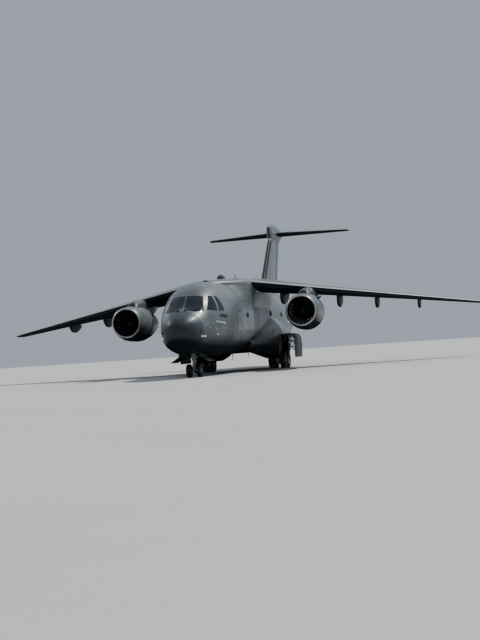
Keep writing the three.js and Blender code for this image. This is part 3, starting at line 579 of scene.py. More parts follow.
class Shape:
    """Vertices and faces gathered for one piece."""

    def __init__(self):
        self.verts = []
        self.faces = []

    def add(self, verts, faces):
        first = len(self.verts)
        self.verts += list(verts)
        self.faces += [tuple(first + i for i in face) for face in faces]

    def rings(self, rings, closed_ends=True, loop=False):
        count = len(rings[0])
        faces = []
        spans = len(rings) if loop else len(rings) - 1
        for r in range(spans):
            a, b = r * count, ((r + 1) % len(rings)) * count
            faces += [(a + i, a + (i + 1) % count, b + (i + 1) % count, b + i) for i in range(count)]
        if closed_ends and not loop:
            faces += [tuple(range(count)), tuple((len(rings) - 1) * count + i for i in range(count))]
        self.add([p for ring in rings for p in ring], faces)

    # Turns [along, radius] points about an axis through a centre
    def lathe(self, centre, axis, profile, sides=48, loop=False):
        axis = Vector(axis).normalized()
        side = axis.orthogonal().normalized()
        other = axis.cross(side)
        rings = [circle(centre + axis * along, side, other, radius, sides) for along, radius in profile]
        self.rings(rings, loop=loop)

    def rod(self, start, end, radius, sides=16, end_radius=None):
        axis = end - start
        last = radius if end_radius is None else end_radius
        self.lathe(start, axis, [(0, radius), (axis.length, last)], sides)

    def tube(self, points, radius, sides=10):
        rings = []
        for i, point in enumerate(points):
            ahead = (points[min(i + 1, len(points) - 1)] - points[max(i - 1, 0)]).normalized()
            side = ahead.cross(SLANT).normalized()
            other = ahead.cross(side)
            rings.append(circle(point, side, other, radius, sides))
        self.rings(rings)

    # A box with its middle, three half sizes and axes
    def box(self, middle, half, axes=((1, 0, 0), (0, 1, 0), (0, 0, 1))):
        x, y, z = (Vector(a).normalized() for a in axes)
        corners = [middle + x * half[0] * i + y * half[1] * j + z * half[2] * k
                   for i in (-1, 1) for j in (-1, 1) for k in (-1, 1)]
        self.add(corners, [(0, 1, 3, 2), (4, 6, 7, 5), (0, 4, 5, 1),
                           (2, 3, 7, 6), (0, 2, 6, 4), (1, 5, 7, 3)])

    def make(self, name, material, body, slot=None, smooth=35):
        return piece(name, self.verts, self.faces, material, body, slot, smooth)


# Cuts a piece with others, or keeps what lies in all of them, and takes the others away
def carve(made, tools, operation="DIFFERENCE", sharp=35):
    for tool in tools:
        modifier = made.modifiers.new("carve", "BOOLEAN")
        modifier.operation = operation
        modifier.object = tool
        modifier.solver = "EXACT"
    drawn = made.evaluated_get(bpy.context.evaluated_depsgraph_get())
    mesh = bpy.data.meshes.new_from_object(drawn)
    made.modifiers.clear()
    made.data = mesh
    for tool in tools:
        bpy.data.objects.remove(tool)
    smooth_below(mesh, sharp)
    return made


# A closed form that only cuts
def cutter(shape):
    return placed("cutter", closed_mesh("cutter", shape.verts, shape.faces))


# A cutter between two corners, each given by place across, station and height
def block(x0, s0, z0, x1, s1, z1):
    low, high = at(x0, s0, z0), at(x1, s1, z1)
    shape = Shape()
    shape.box((low + high) / 2, [abs(v) / 2 for v in high - low])
    return cutter(shape)


# A cutter that runs fore and aft with an outline of [x, z], or across with one of [station, z]
def prism(outline, ends, front):
    shape = Shape()

    def spot(u, z, end):
        return at(u, end, z) if front else at(end, u, z)

    shape.rings([[spot(u, z, e) for u, z in outline] for e in ends])
    return cutter(shape)


# A ring across the aircraft, with its own height and squareness above and below its middle
def oval(station, x, z, out, up, down, power=2.0, low_power=2.0, sides=96):
    ring = []
    for i in range(sides):
        turn = 2 * math.pi * i / sides
        c, s = math.cos(turn), math.sin(turn)
        bend = 2 / (power if s > 0 else low_power)
        ring.append(at(x + math.copysign(abs(c) ** bend, c) * out, station,
                       z + math.copysign(abs(s) ** bend, s) * (up if s > 0 else down)))
    return ring


# Fuselage skin, finer than the solids
WALL = 0.16
THINNEST = 0.01
# Slit round a door, and slot ahead of the ramp's hinge
SLIT, RAMP_SLOT = 0.008, 0.035
# Columns: node, start and end station, distance between rings, whether solid, material, slot
HULL_LENGTHS = [
    ("radome", 0, 1.1997, 0.06, True, paint_dark, "dark_composite"),
    ("cockpit_section", 1.2, 5.3, 0.12, False, paint_hull, "paint"),
    ("forward_fuselage", 5.3003, 9.6, 0.35, False, paint_hull, "paint"),
    ("centre_fuselage", 9.6003, 21.5, 0.35, False, paint_hull, "paint"),
    ("rear_fuselage", 21.5003, 31.2, 0.35, False, paint_hull, "paint"),
    ("tail_cone", 31.2003, 34, 0.35, True, paint_hull, "composite"),
]


def hull_ring(station, depth):
    half, middle, tall, power, low_power = hull_section(station)
    return oval(station, 0, middle, max(THINNEST, half - depth), tall - depth, tall - depth, power, low_power)


# Stations of a length's rings: those of the table, with others between them
def hull_stations(start, end, step):
    marks = {start, end} | {row[0] for row in HULL if start < row[0] < end}
    count = max(1, round((end - start) / step))
    marks |= {start + (end - start) * i / count for i in range(1, count)}
    kept = []
    for mark in sorted(marks):
        if not kept or mark - kept[-1] > 0.02 or mark == end:
            kept.append(mark)
    return kept


# A length of the fuselage's wall between two depths below its skin
def hull_tube(start, end, outer, inner, step):
    stations = hull_stations(start, end, step)
    shape = Shape()
    outside = [hull_ring(s, outer) for s in stations]
    inside = [hull_ring(s, inner) for s in reversed(stations)]
    shape.rings(outside + inside, loop=True)
    return shape


def hull_solid(start, end, step):
    shape = Shape()
    shape.rings([hull_ring(s, 0) for s in hull_stations(start, end, step)])
    return shape


# Outlines of the cockpit panes: [x, z] points of the windscreen and [station, z] points of the side
FRONT_PANE = [(0.045, 4.07), (0.045, 4.82), (0.55, 4.81), (0.93, 4.76), (1.18, 3.83), (0.7, 3.83),
              (0.27, 3.98)]
SIDE_PANES = [
    [(2.1, 3.92), (3.07, 4.79), (3.35, 4.79), (2.93, 3.84)],
    [(3.13, 3.84), (3.49, 4.76), (3.72, 4.76), (3.84, 3.84)],
]


# An outline moved outwards by an amount, with its corners rounded
def rounded(outline, radius, out=0.0, steps=5):
    points = [Vector(p) for p in outline]
    middle = sum(points, Vector((0, 0))) / len(points)
    points = [p + (p - middle).normalized() * out for p in points]
    made = []
    for i, corner in enumerate(points):
        before, after = points[i - 1], points[(i + 1) % len(points)]
        r = min(radius, (before - corner).length * 0.4, (after - corner).length * 0.4)
        start = corner + (before - corner).normalized() * r
        end = corner + (after - corner).normalized() * r
        for k in range(steps + 1):
            t = k / steps
            made.append(start * (1 - t) ** 2 + corner * 2 * t * (1 - t) + end * t ** 2)
    return made


PANE_CORNER = 0.07
# How far the panes' cutters reach: stations for the windscreen, distances out for the side panes
FRONT_REACH, SIDE_REACH = (0.8, 3.3), (0.9, 2.6)
# Start and end station, bottom and top
CREW_DOOR = (4.15, 5.05, 1.72, 3.56)


def pane_tools(out, sides=(1, -1)):
    tools = []
    for side in sides:
        front = [(side * x, z) for x, z in rounded(FRONT_PANE, PANE_CORNER, out)]
        tools.append(prism(front, FRONT_REACH, True))
        for pane in SIDE_PANES:
            tools.append(prism(rounded(pane, PANE_CORNER, out), [side * x for x in SIDE_REACH], False))
    return tools


# Columns: station, half width, bottom, top
WING_CENTRE = [(7.4, 0.42, 5.45, 5.9), (8.8, 1.4, 5.25, 6.06), (10.4, 2.15, 5.08, 6.21),
               (12, 2.42, 4.96, 6.26), (16.6, 2.42, 4.96, 6.26), (18, 2.25, 5.1, 6.2),
               (19.8, 1.3, 5.45, 6.02), (20.9, 0.5, 5.5, 5.9)]
WING_CENTRE_HALF = 2.35


def wing_centre_shape(out):
    shape = Shape()
    rings = []
    widest = WING_CENTRE_HALF + out
    for mark in spread(7.4, 13.5, 55):
        station, half, bottom, top = row_at(WING_CENTRE, mark)
        tall = (top - bottom) / 2 + out
        ring = oval(station, 0, (top + bottom) / 2, half + out, tall, tall, 3.2, 3.2, 72)
        rings.append([Vector((max(-widest, min(widest, p.x)), p.y, p.z)) for p in ring])
    shape.rings(rings)
    return shape


# The ramp and the upper door: where they hinge, their slope, and their sizes
RAMP_HINGE = (21.76, 1.25)
RAMP_ANGLE = math.radians(15.7)
RAMP_LENGTH, RAMP_DECK, HOLD_HALF = 5.7, 0.42, 1.6
DOOR_GAP, UPPER_LENGTH, UPPER_END_HALF = 0.06, 3.3, 0.85
UPPER_HINGE = (RAMP_HINGE[0] + math.cos(RAMP_ANGLE) * (RAMP_LENGTH + DOOR_GAP),
               RAMP_HINGE[1] + math.sin(RAMP_ANGLE) * (RAMP_LENGTH + DOOR_GAP))


# A block laid along the slope of the rear fuselage
def sloped(hinge, half0, half1, a0, a1, b0, b1):
    def spot(x, a, b):
        return at(x, hinge[0] + math.cos(RAMP_ANGLE) * a - math.sin(RAMP_ANGLE) * b,
                  hinge[1] + math.sin(RAMP_ANGLE) * a + math.cos(RAMP_ANGLE) * b)
    shape = Shape()
    shape.rings([[spot(-h, a, b0), spot(h, a, b0), spot(h, a, b1), spot(-h, a, b1)]
                 for h, a in ((half0, a0), (half1, a1))])
    return cutter(shape)


# Cutters for the ramp and the upper door, larger by an amount and starting ahead of the hinge
def ramp_tool(out, top, lead):
    return sloped(RAMP_HINGE, HOLD_HALF + out, HOLD_HALF + out, -lead, RAMP_LENGTH + out, -0.9, top)


def upper_tool(out, lead):
    taper = (HOLD_HALF - UPPER_END_HALF) / UPPER_LENGTH
    wide, narrow = HOLD_HALF + out + lead * taper, UPPER_END_HALF + out * (1 - taper)
    return sloped(UPPER_HINGE, wide, narrow, -lead, UPPER_LENGTH + out, -0.5, 0.9)


def door_tool(out):
    start, end, low, high = CREW_DOOR
    return block(0.7, start - out, low - out, 3, end + out, high + out)


def skin_piece(name, shape, tools, material, body, slot, operation="DIFFERENCE"):
    made = shape.make(name + "_skin", material, body, slot)
    if tools:
        carve(made, tools, operation)
    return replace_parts(made, name)


# What is cut out of a length of the fuselage
def hull_openings(name):
    if name == "cockpit_section":
        nose_well = block(-0.65, 2.15, 0, 0.65, 4.05, 2.2)
        return pane_tools(0) + [nose_well, door_tool(SLIT)]
    if name in ("forward_fuselage", "centre_fuselage"):
        return [cutter(wing_centre_shape(0.002))]
    if name == "rear_fuselage":
        return [ramp_tool(SLIT, 0.9, RAMP_SLOT), upper_tool(SLIT, 0.08)]
    return []


def hull_pieces():
    for name, start, end, step, solid, look, slot in HULL_LENGTHS:
        shape = hull_solid(start, end, step) if solid else hull_tube(start, end, 0, WALL, step)
        skin_piece(name, shape, hull_openings(name), look, "airframe", slot)
    skin_piece("wing_centre", wing_centre_shape(0), [], paint_fairing, "airframe", "paint")


# Doors cut from the same wall as the opening that they close
def hull_doors():
    wall = hull_tube(4.0, 5.2, 0, WALL, 0.1)
    skin_piece("crew_door", wall, [door_tool(0)], paint_hull, "crew_door", "paint", "INTERSECT")
    wall = hull_tube(26.5, 31.2, 0, WALL, 0.3)
    skin_piece("upper_cargo_door", wall, [upper_tool(0, 0)], paint_hull, "upper_cargo_door", "paint",
               "INTERSECT")
    wall = hull_solid(21.5, 28.5, 0.3)
    skin_piece("cargo_ramp", wall, [ramp_tool(0, RAMP_DECK, 0)], paint_hull, "cargo_ramp", "paint",
               "INTERSECT")


def cockpit_panes():
    for side_name, side in SIDES:
        for i, label in enumerate(("windscreen", "side_window_front", "side_window_rear")):
            tools = pane_tools(-0.001, (side,))
            kept = tools.pop(i)
            for tool in tools:
                bpy.data.objects.remove(tool)
            pane = hull_tube(1.2, 4.2, 0.014, 0.04, 0.1)
            skin_piece(f"{label}_{side_name}", pane, [kept], glass, "airframe", "glass", "INTERSECT")


hull_pieces()
hull_doors()
cockpit_panes()


# Columns: distance aft of the lip, radius, extra depth below
NACELLE_OUTSIDE = [(0, 0.925, 0), (0.03, 0.965, 0.004), (0.12, 1.01, 0.015), (0.4, 1.06, 0.045),
                   (1.1, 1.11, 0.095), (2.3, 1.12, 0.11), (3.4, 1.02, 0.08), (4.4, 0.84, 0.025),
                   (5.05, 0.69, 0)]
NACELLE_DUCT = [(0.0, 0.915, 0), (0.01, 0.893, 0), (0.04, 0.868, 0), (0.15, 0.838, 0), (0.42, 0.822, 0),
                (1, 0.832, 0), (2.2, 0.8, 0), (3.8, 0.72, 0), (5.05, 0.656, 0)]
# Places of the rings: close together at the lip, then evenly spaced
NACELLE_MARKS = [0, 0.004, 0.012, 0.03, 0.06, 0.12, 0.2, 0.3, 0.42] + [0.6 + 0.2225 * i for i in range(21)]


def nacelle(side_name, side):
    def rings(table, marks):
        rows = [row_at(table, mark) for mark in marks]
        return [oval(ENGINE_STATION + aft, side * ENGINE_X, ENGINE_Z, r, r, r + deep, sides=112)
                for aft, r, deep in rows]

    outside = rings(NACELLE_OUTSIDE, NACELLE_MARKS)
    duct = rings(NACELLE_DUCT, reversed(NACELLE_MARKS))
    shape = Shape()
    shape.rings(outside + duct, loop=True)
    made = shape.make(f"nacelle_skin_{side_name}", nacelle_look, "airframe", "paint")
    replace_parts(made, f"nacelle_{side_name}")


for side_name, side in SIDES:
    nacelle(side_name, side)


# Wings, fin and tailplane with rounded sections
# Columns: position, leading and trailing edge station, height, thickness ratio, incidence in degrees
WING = [(2.35, 10.79, 17.1, 5.77, 0.14, 3.2), (7, 12.664, 17.2, 5.1, 0.125, 3.2),
        (12.85, 15.022, 17.979, 4.256, 0.115, 2.2), (17, 16.694, 18.532, 3.657, 0.105, 1.6),
        (17.525, 17.15, 18.56, 3.581, 0.08, 1.6)]
FIN = [(5.5, 24.244, 30.866, 0, 0.115, 0), (6.6, 25.37, 31.5, 0, 0.115, 0), (10.25, 29.19, 33.59, 0, 0.11, 0),
       (10.8, 29.76, 33.9, 0, 0.1, 0)]
TAILPLANE = [(0, 30.95, 34.15, 11.08, 0.11, 0), (5.9, 33.25, 34.75, 11.14, 0.1, 0),
             (6.12, 33.5, 34.77, 11.14, 0.08, 0)]
# Half the thickness of a trailing edge
EDGE_HALF = 0.005
# Steps in the half turn of a hinged part's nose, in a chord from its front, and in a hinged part's chord
NOSE_STEPS, CHORD_STEPS, HINGED_STEPS = 10, 18, 8


# Reads a table at a position, along straight lines between its rows
def line_row(table, position):
    i = next((k for k in range(1, len(table)) if table[k][0] >= position - 1e-9), len(table) - 1)
    t = (position - table[i - 1][0]) / (table[i][0] - table[i - 1][0])
    return [u + (v - u) * t for u, v in zip(table[i - 1], table[i])]


# Half the thickness of a rounded section at a share of its chord, for a thickness ratio of one
def half_thickness(f):
    return 5 * (0.2969 * math.sqrt(f) - 0.126 * f - 0.3516 * f ** 2 + 0.2843 * f ** 3 - 0.1036 * f ** 4)


# Shares of the chord at which the hinged parts begin. The wing's hinge line is straight.
def wing_hinge(row):
    return (15.4 + 0.1696 * (row[0] - 2.4) - row[1]) / (row[2] - row[1])


def tail_hinge(row):
    return 0.7


# Kinds of surface: table, hinge line, slot at the hinge, camber
WING_KIND = (WING, wing_hinge, 0.008, 0.012)
FIN_KIND = (FIN, tail_hinge, 0.011, 0.0)
TAILPLANE_KIND = (TAILPLANE, tail_hinge, 0.011, 0.0)


# Turns a distance aft and one upwards by a row's incidence
def pitched(row, aft, up):
    turn = math.radians(row[5])
    return aft * math.cos(turn) + up * math.sin(turn), up * math.cos(turn) - aft * math.sin(turn)


def wing_spot(side):
    def spot(row, aft, off):
        a, u = pitched(row, aft, off)
        return at(side * row[0], row[1] + a, row[3] + u)
    return spot


def fin_spot(row, aft, off):
    return at(off, row[1] + aft, row[0])


# A length of a lifting surface: its fixed part, its hinged part or the whole chord
def foil(shape, kind, start, end, part, spot):
    table, hinge, gap, camber = kind
    marks = sorted({start, end} | {row[0] for row in table if start < row[0] < end})
    rings = []
    for mark in marks:
        row = line_row(table, mark)
        chord, ratio = row[2] - row[1], row[4]
        f = hinge(row)
        radius = half_thickness(f) * ratio * chord + EDGE_HALF
        wall = f - (radius + gap) / chord
        f0, f1 = {"fixed": (0, wall), "hinged": (f, 1), "whole": (0, 1)}[part]
        if f0 == 0:
            shares = [f1 * (1 - math.cos(math.pi / 2 * i / CHORD_STEPS)) for i in range(CHORD_STEPS + 1)]
        else:
            shares = spread(f0, f1 - f0, HINGED_STEPS + 1)

        def half(g):
            return half_thickness(g) * ratio * chord + EDGE_HALF * min(1, g * 30)

        def mean(g):
            return camber * chord * 4 * g * (1 - g)

        ring = [(g * chord, mean(g) + half(g)) for g in reversed(shares)]
        if f0:
            turns = [math.pi * i / NOSE_STEPS for i in range(1, NOSE_STEPS)]
            ring += [(f0 * chord - math.sin(t) * radius, mean(f0) + math.cos(t) * radius) for t in turns]
        ring += [(g * chord, mean(g) - half(g)) for g in shares[0 if f0 else 1:]]
        rings.append([spot(row, aft, off) for aft, off in ring])
    shape.rings(rings)


# The lengths that make up each surface. Columns: kind, start and end of the length, part of the chord
LENGTHS = {
    "wing": ((WING_KIND, 2.15, 17.0, "fixed"), (WING_KIND, 16.99, 17.525, "whole")),
    "flap": ((WING_KIND, 2.6, 12.85, "hinged"),),
    "aileron": ((WING_KIND, 12.9, 16.965, "hinged"),),
    "elevator": ((TAILPLANE_KIND, 0.65, 5.88, "hinged"),),
    "fin": ((FIN_KIND, 5.5, 6.595, "whole"), (FIN_KIND, 6.59, 10.255, "fixed"),
            (FIN_KIND, 10.25, 10.8, "whole")),
    "rudder": ((FIN_KIND, 6.67, 10.11, "hinged"),),
    "tailplane": ((TAILPLANE_KIND, 0, 0.61, "whole"), (TAILPLANE_KIND, 0.605, 5.925, "fixed"),
                  (TAILPLANE_KIND, 5.92, 6.12, "whole")),
}


def surface(shape, label, spot):
    for kind, start, end, part in LENGTHS[label]:
        foil(shape, kind, start, end, part, spot)


# Columns: x, depth below the wing, half width
TRACKS = [(3.5, 0.7, 0.14), (7.3, 0.76, 0.14), (9.85, 0.7, 0.13), (12.7, 0.56, 0.11)]


# A flap track's fairing. The front half is fixed and the rear half moves with the flap.
def track_fairing(shape, side, x, depth, half_width, rear):
    row = line_row(WING, x)
    _, lead, trail, height, ratio, _ = row
    chord = trail - lead
    f = wing_hinge(row)
    split = lead + pitched(row, f * chord, 0)[0] - half_thickness(f) * ratio * chord - EDGE_HALF

    def underside(station):
        g = min(1, max(0, (station - lead) / chord))
        return height + pitched(row, g * chord, -half_thickness(g) * ratio * chord)[1]

    # Columns: station, share of the depth, share of the width
    end = trail + 0.5
    if rear:
        rows = [(split + 0.02, 1, 1), (split + (end - split) * 0.45, 0.8, 0.85),
                (split + (end - split) * 0.8, 0.42, 0.5), (end, 0.05, 0.08)]
    else:
        rows = [(split - 1.35, 0.05, 0.12), (split - 1.0, 0.55, 0.7), (split - 0.5, 0.92, 1),
                (split - 0.008, 1, 1)]
    rings = []
    for mark in spread(rows[0][0], rows[-1][0] - rows[0][0], 15):
        station, deep, wide = row_at(rows, mark)
        buried = 0.11 * min(1, max(-0.2, (trail + 0.1 - station) / 0.3))
        top = underside(min(station, trail - 0.06)) + buried
        tall = (depth * deep + max(0, buried)) / 2
        rings.append(oval(station, side * x, top - tall, half_width * wide, tall, tall, 3, 3.2, 32))
    shape.rings(rings)


# Wing, flap, aileron and elevator of one side, with the flap's tracks
def lifting_pieces(side_name, side):
    for label, body, look, slot in (
            ("wing", "airframe", paint_wing, "paint"),
            ("flap", None, paint_wing, "composite"),
            ("aileron", None, paint_wing, "composite"),
            ("elevator", None, paint_tail, "composite")):
        shape, node = Shape(), f"{label}_{side_name}"
        surface(shape, label, wing_spot(side))
        if label in ("wing", "flap"):
            for x, depth, half in TRACKS:
                track_fairing(shape, side, x, depth, half, label == "flap")
        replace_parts(shape.make(node + "_skin", look, body or node, slot), node)


PYLON_FRONT, PYLON_BACK = ENGINE_STATION + 1.3, 13.3
PYLON_FOOT, PYLON_HALF = 4.45, 0.41
# Columns: station, top
PYLON_TOPS = [(PYLON_FRONT, 4.7), (PYLON_FRONT + 0.11, 4.9), (PYLON_FRONT + 0.36, 5.08),
              (PYLON_FRONT + 1.01, 5.2), (12, 5.29), (PYLON_BACK, 5.25)]
# The thin part behind the engine. Columns: station, bottom, top, half width
PYLON_TAIL = [(12.6, 4.2, 5.1, 0.17), (14.3, 4.45, 5.2, 0.17), (15.2, 4.85, 5.14, 0.14),
              (15.5, 5.05, 5.12, 0.08)]


def pylon(side_name, side):
    shape, middle = Shape(), side * ENGINE_X
    rings = []
    for i in range(40):
        station, top = row_at(PYLON_TOPS, PYLON_FRONT + (PYLON_BACK - PYLON_FRONT) * (i / 39) ** 1.6)
        rings.append(oval(station, middle, PYLON_FOOT, PYLON_HALF, top - PYLON_FOOT, 0.3, 2.6, 2, 48))
    shape.rings(rings)
    shape.rings([[at(middle + dx, s, z) for dx, z in ((-w, low), (w, low), (w, high), (-w, high))]
                 for s, low, high, w in PYLON_TAIL])
    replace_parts(shape.make(f"pylon_skin_{side_name}", paint_pylon_shaded, "airframe", "paint"), f"pylon_{side_name}")


# Columns: station, half width, bottom, top
BULLET = [(29.25, 0.02, 11, 11.18), (29.45, 0.17, 10.62, 11.56), (29.9, 0.27, 10.3, 11.79),
          (30.7, 0.34, 10.1, 11.85), (32.2, 0.35, 10.22, 11.85), (33.6, 0.27, 10.52, 11.74),
          (34.6, 0.15, 10.83, 11.5), (35.2, 0.02, 11.08, 11.2)]
# The fillet at the foot of the fin. Columns: station, half width, top
FILLET = [(21.8, 0.012, 5.9), (23.5, 0.07, 6.3), (25.0, 0.11, 6.78), (25.9, 0.11, 7.1)]
FILLET_FOOT = 5.7


def bullet_rings():
    rings = []
    for i in range(60):
        station, half, bottom, top = row_at(BULLET, 29.25 + 5.95 * (1 - math.cos(math.pi * i / 59)) / 2)
        tall = (top - bottom) / 2
        rings.append(oval(station, 0, bottom + tall, half, tall, tall, 2.1, 1.6, 56))
    return rings


def fillet_rings():
    rows = [row_at(FILLET, mark) for mark in spread(21.8, 4.1, 16)]
    return [oval(station, 0, FILLET_FOOT, half * 1.5, top - FILLET_FOOT, 0.1, 1.5, 2, 24)
            for station, half, top in rows]


def tail_pieces():
    fin, rudder, tailplane = Shape(), Shape(), Shape()
    surface(fin, "fin", fin_spot)
    surface(rudder, "rudder", fin_spot)
    fin.rings(fillet_rings())
    fin.rings(bullet_rings())
    for _, side in SIDES:
        surface(tailplane, "tailplane", wing_spot(side))
    for shape, label, body in ((fin, "fin", "airframe"), (rudder, "rudder", "rudder"),
                               (tailplane, "tailplane", "airframe")):
        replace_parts(shape.make(label + "_skin", paint_tail, body, "composite"), label)


for side_name, side in SIDES:
    lifting_pieces(side_name, side)
    pylon(side_name, side)
tail_pieces()


# The wing centre section's sides, blended down into the hull between two heights
SKIRT_TOP, SKIRT_FOOT = 5.66, 4.25
SKIRT_STEPS = 8


def wing_skirts():
    shape = Shape()
    for _, side in SIDES:
        rings = []
        for station in spread(7.6, 13.1, 61):
            half = min(WING_CENTRE_HALF - 0.005, row_at(WING_CENTRE, station)[1])
            foot = abs(skin(station, SKIRT_FOOT, side).x)
            outer = []
            for k in range(SKIRT_STEPS + 1):
                down = k / SKIRT_STEPS
                z = SKIRT_TOP + (SKIRT_FOOT - SKIRT_TOP) * k / SKIRT_STEPS
                flush = abs(skin(station, z, side).x) + 0.006 * (1 - down)
                outer.append((max(flush, half + (foot - half) * k / SKIRT_STEPS), z))
            ring = [at(side * x, station, z) for x, z in outer]
            rings.append(ring + [at(side * (x - 0.04), station, z) for x, z in reversed(outer)])
        shape.rings(rings)
    shape.make("wing_centre_skirts", paint_fairing, "airframe", "paint")


# Satellite antenna cover
DOME_FOOT = (0, 11.5, 6.255)
DOME_RADIUS, DOME_HEIGHT, DOME_STEPS = 0.33, 0.29, 14


def dome():
    shape = Shape()
    turns = [math.pi / 2 * i / DOME_STEPS for i in range(DOME_STEPS)]
    curve = [(DOME_RADIUS * math.sin(t), DOME_HEIGHT * math.cos(t)) for t in turns]
    profile = [(-0.06, DOME_RADIUS)] + curve + [(DOME_RADIUS, 0.003)]
    shape.lathe(at(*DOME_FOOT), (0, 0, 1), profile, 48)
    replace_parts(shape.make("antenna_dome", paint_dome, "airframe", "dark_composite"), "antenna_cover")


wing_skirts()
dome()


LOW_ANGLE = math.radians(32)
WELD = 0.0001


# Draws a solid's flat faces smoothly where they meet at a low angle. Its mesh stays as it is.
def smoothing():
    group = bpy.data.node_groups.new("smooth_low_angles", "GeometryNodeTree")
    for way in ("INPUT", "OUTPUT"):
        group.interface.new_socket(name="Geometry", in_out=way, socket_type="NodeSocketGeometry")
    start, end = group.nodes.new("NodeGroupInput"), group.nodes.new("NodeGroupOutput")
    bare = group.nodes.new("GeometryNodeRemoveAttribute")
    bare.inputs["Name"].default_value = "custom_normal"
    weld = group.nodes.new("GeometryNodeMergeByDistance")
    weld.inputs["Distance"].default_value = WELD
    faces = group.nodes.new("GeometryNodeSetShadeSmooth")
    edges = group.nodes.new("GeometryNodeSetShadeSmooth")
    edges.domain = "EDGE"
    angle = group.nodes.new("GeometryNodeInputMeshEdgeAngle")
    low = group.nodes.new("ShaderNodeMath")
    low.operation = "LESS_THAN"
    low.inputs[1].default_value = LOW_ANGLE
    chain = (start, bare, weld, faces, edges, end)
    for node, after in zip(chain, chain[1:]):
        group.links.new(node.outputs[0], after.inputs[0])
    group.links.new(angle.outputs[0], low.inputs[0])
    group.links.new(low.outputs[0], edges.inputs["Shade Smooth"])
    return group


smooth_group = smoothing()
for thing in nodes.values():
    thing.modifiers.new("smooth", "NODES").node_group = smooth_group


# Grooves of the tread, as shares of half the tyre's width, and half their width and their depth
GROOVES = (-0.42, -0.14, 0.14, 0.42)
GROOVE_HALF, GROOVE_DEPTH = 0.006, 0.014
# One face of a rim. Columns: share of half the tyre's width, share of the rim's radius
RIM_FACE = [(0.62, 1.06), (0.66, 0.98), (0.5, 0.9), (0.3, 0.84), (0.22, 0.5), (0.45, 0.4), (0.62, 0.32)]
RIM_SHARE, RIM_BOLTS = 0.52, 9


# A tyre's section about its axle, as [across, radius] points
def tyre_profile(radius, half, rim):
    shoulder = radius * 0.93
    left = [(-half * 0.55, rim), (-half * 0.82, rim * 1.08), (-half, (rim + shoulder) / 2),
            (-half * 0.97, shoulder * 0.97), (-half * 0.84, shoulder + (radius - shoulder) * 0.72),
            (-half * 0.66, radius * 0.994)]
    tread = []
    for groove in GROOVES:
        x = groove * half
        tread += [(x - 2 * GROOVE_HALF, radius), (x - GROOVE_HALF, radius - GROOVE_DEPTH),
                  (x + GROOVE_HALF, radius - GROOVE_DEPTH), (x + 2 * GROOVE_HALF, radius)]
    return left + tread + [(-a, r) for a, r in reversed(left)]


# One face of a rim with its ring of bolts
def rim_face(shape, middle, face, half, rim):
    disc = [(face * half * across, rim * out) for across, out in RIM_FACE]
    disc += [(face * half * 0.64, 0.004), (0, 0.004), (0, rim * 1.06)]
    shape.lathe(middle, (1, 0, 0), disc, 32, loop=True)
    bolt = [(0, rim * 0.085), (half * 0.1, rim * 0.085), (half * 0.1, rim * 0.05), (0.002, rim * 0.05)]
    for i in range(RIM_BOLTS):
        a = 2 * math.pi * i / RIM_BOLTS
        spot = middle + Vector((face * half * 0.24, math.cos(a) * rim * 0.67, math.sin(a) * rim * 0.67))
        shape.lathe(spot, (face, 0, 0), bolt, 10)


# A pair of wheels on one axle
def wheels(name, centre, apart, radius, width, axle):
    rim, half = radius * RIM_SHARE, width / 2
    tyre_shape, rim_shape = Shape(), Shape()
    for side in (-1, 1):
        middle = centre + Vector((side * apart / 2, 0, 0))
        tyre_shape.lathe(middle, (1, 0, 0), tyre_profile(radius, half, rim), 40, loop=True)
        for face in (-1, 1):
            rim_face(rim_shape, middle, face, half, rim)
    reach = Vector((apart / 2, 0, 0))
    rim_shape.rod(centre - reach, centre + reach, axle, 24)
    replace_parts(tyre_shape.make(name + "_tyres", tyre_rubber, name, "tyre", 40), name)
    rim_shape.make(name + "_rims", gear_paint, name, "gear", 40)


for side_name, side in SIDES:
    for end_name, end in (("front", -1), ("rear", 1)):
        centre = at(side * GEAR_X, GEAR_STATION + end * AXLE_SPREAD / 2, 0.56)
        wheels(f"main_wheels_{side_name}_{end_name}", centre, 0.81, 0.56, 0.4, 0.062)
wheels("nose_wheels", at(0, NOSE_GEAR_STATION, NOSE_WHEEL_RADIUS), 0.65, 0.4, 0.25, 0.046)


# Fan blades, steps from foot to tip, and how deep the foot sits in the hub
BLADES, BLADE_STEPS, BLADE_SUNK = 22, 6, 0.03
# A blade's section, as shares of its chord along it and of its thickness across it
BLADE_SECTION = ((-0.5, 0), (-0.25, 0.8), (0.1, 1), (0.5, 0), (0.1, -0.6), (-0.25, -0.5))
# The pointed spinner, as [aft, radius] points
SPINNER = [(-0.33, 0.004), (-0.31, 0.04), (-0.24, 0.105), (-0.13, 0.175), (-0.04, 0.22), (0.16, 0.245),
           (0.16, 0.01)]


# A curved, twisted blade before it is turned to its place
def blade_rows():
    rows = []
    for step in range(BLADE_STEPS + 1):
        t = step / BLADE_STEPS
        radius = HUB_RADIUS - BLADE_SUNK + (FAN_RADIUS - HUB_RADIUS + BLADE_SUNK) * t
        twist = math.radians(32 + 30 * t)
        chord = 0.15 + 0.09 * math.sin(math.pi * min(1, t * 0.8 + 0.1))
        sweep = 0.05 * math.sin(math.pi * t)
        thick = 0.012 * (1 - 0.65 * t)
        row = []
        for along, off in BLADE_SECTION:
            bow = 0.1 * (0.25 - along * along) * chord
            a, b = along * chord, off * thick + bow
            across = math.sin(twist) * a + math.cos(twist) * b
            aft = math.cos(twist) * a - math.sin(twist) * b
            row.append(Vector((across, aft + 0.06 + sweep * 0.5, radius)))
        rows.append(row)
    return rows


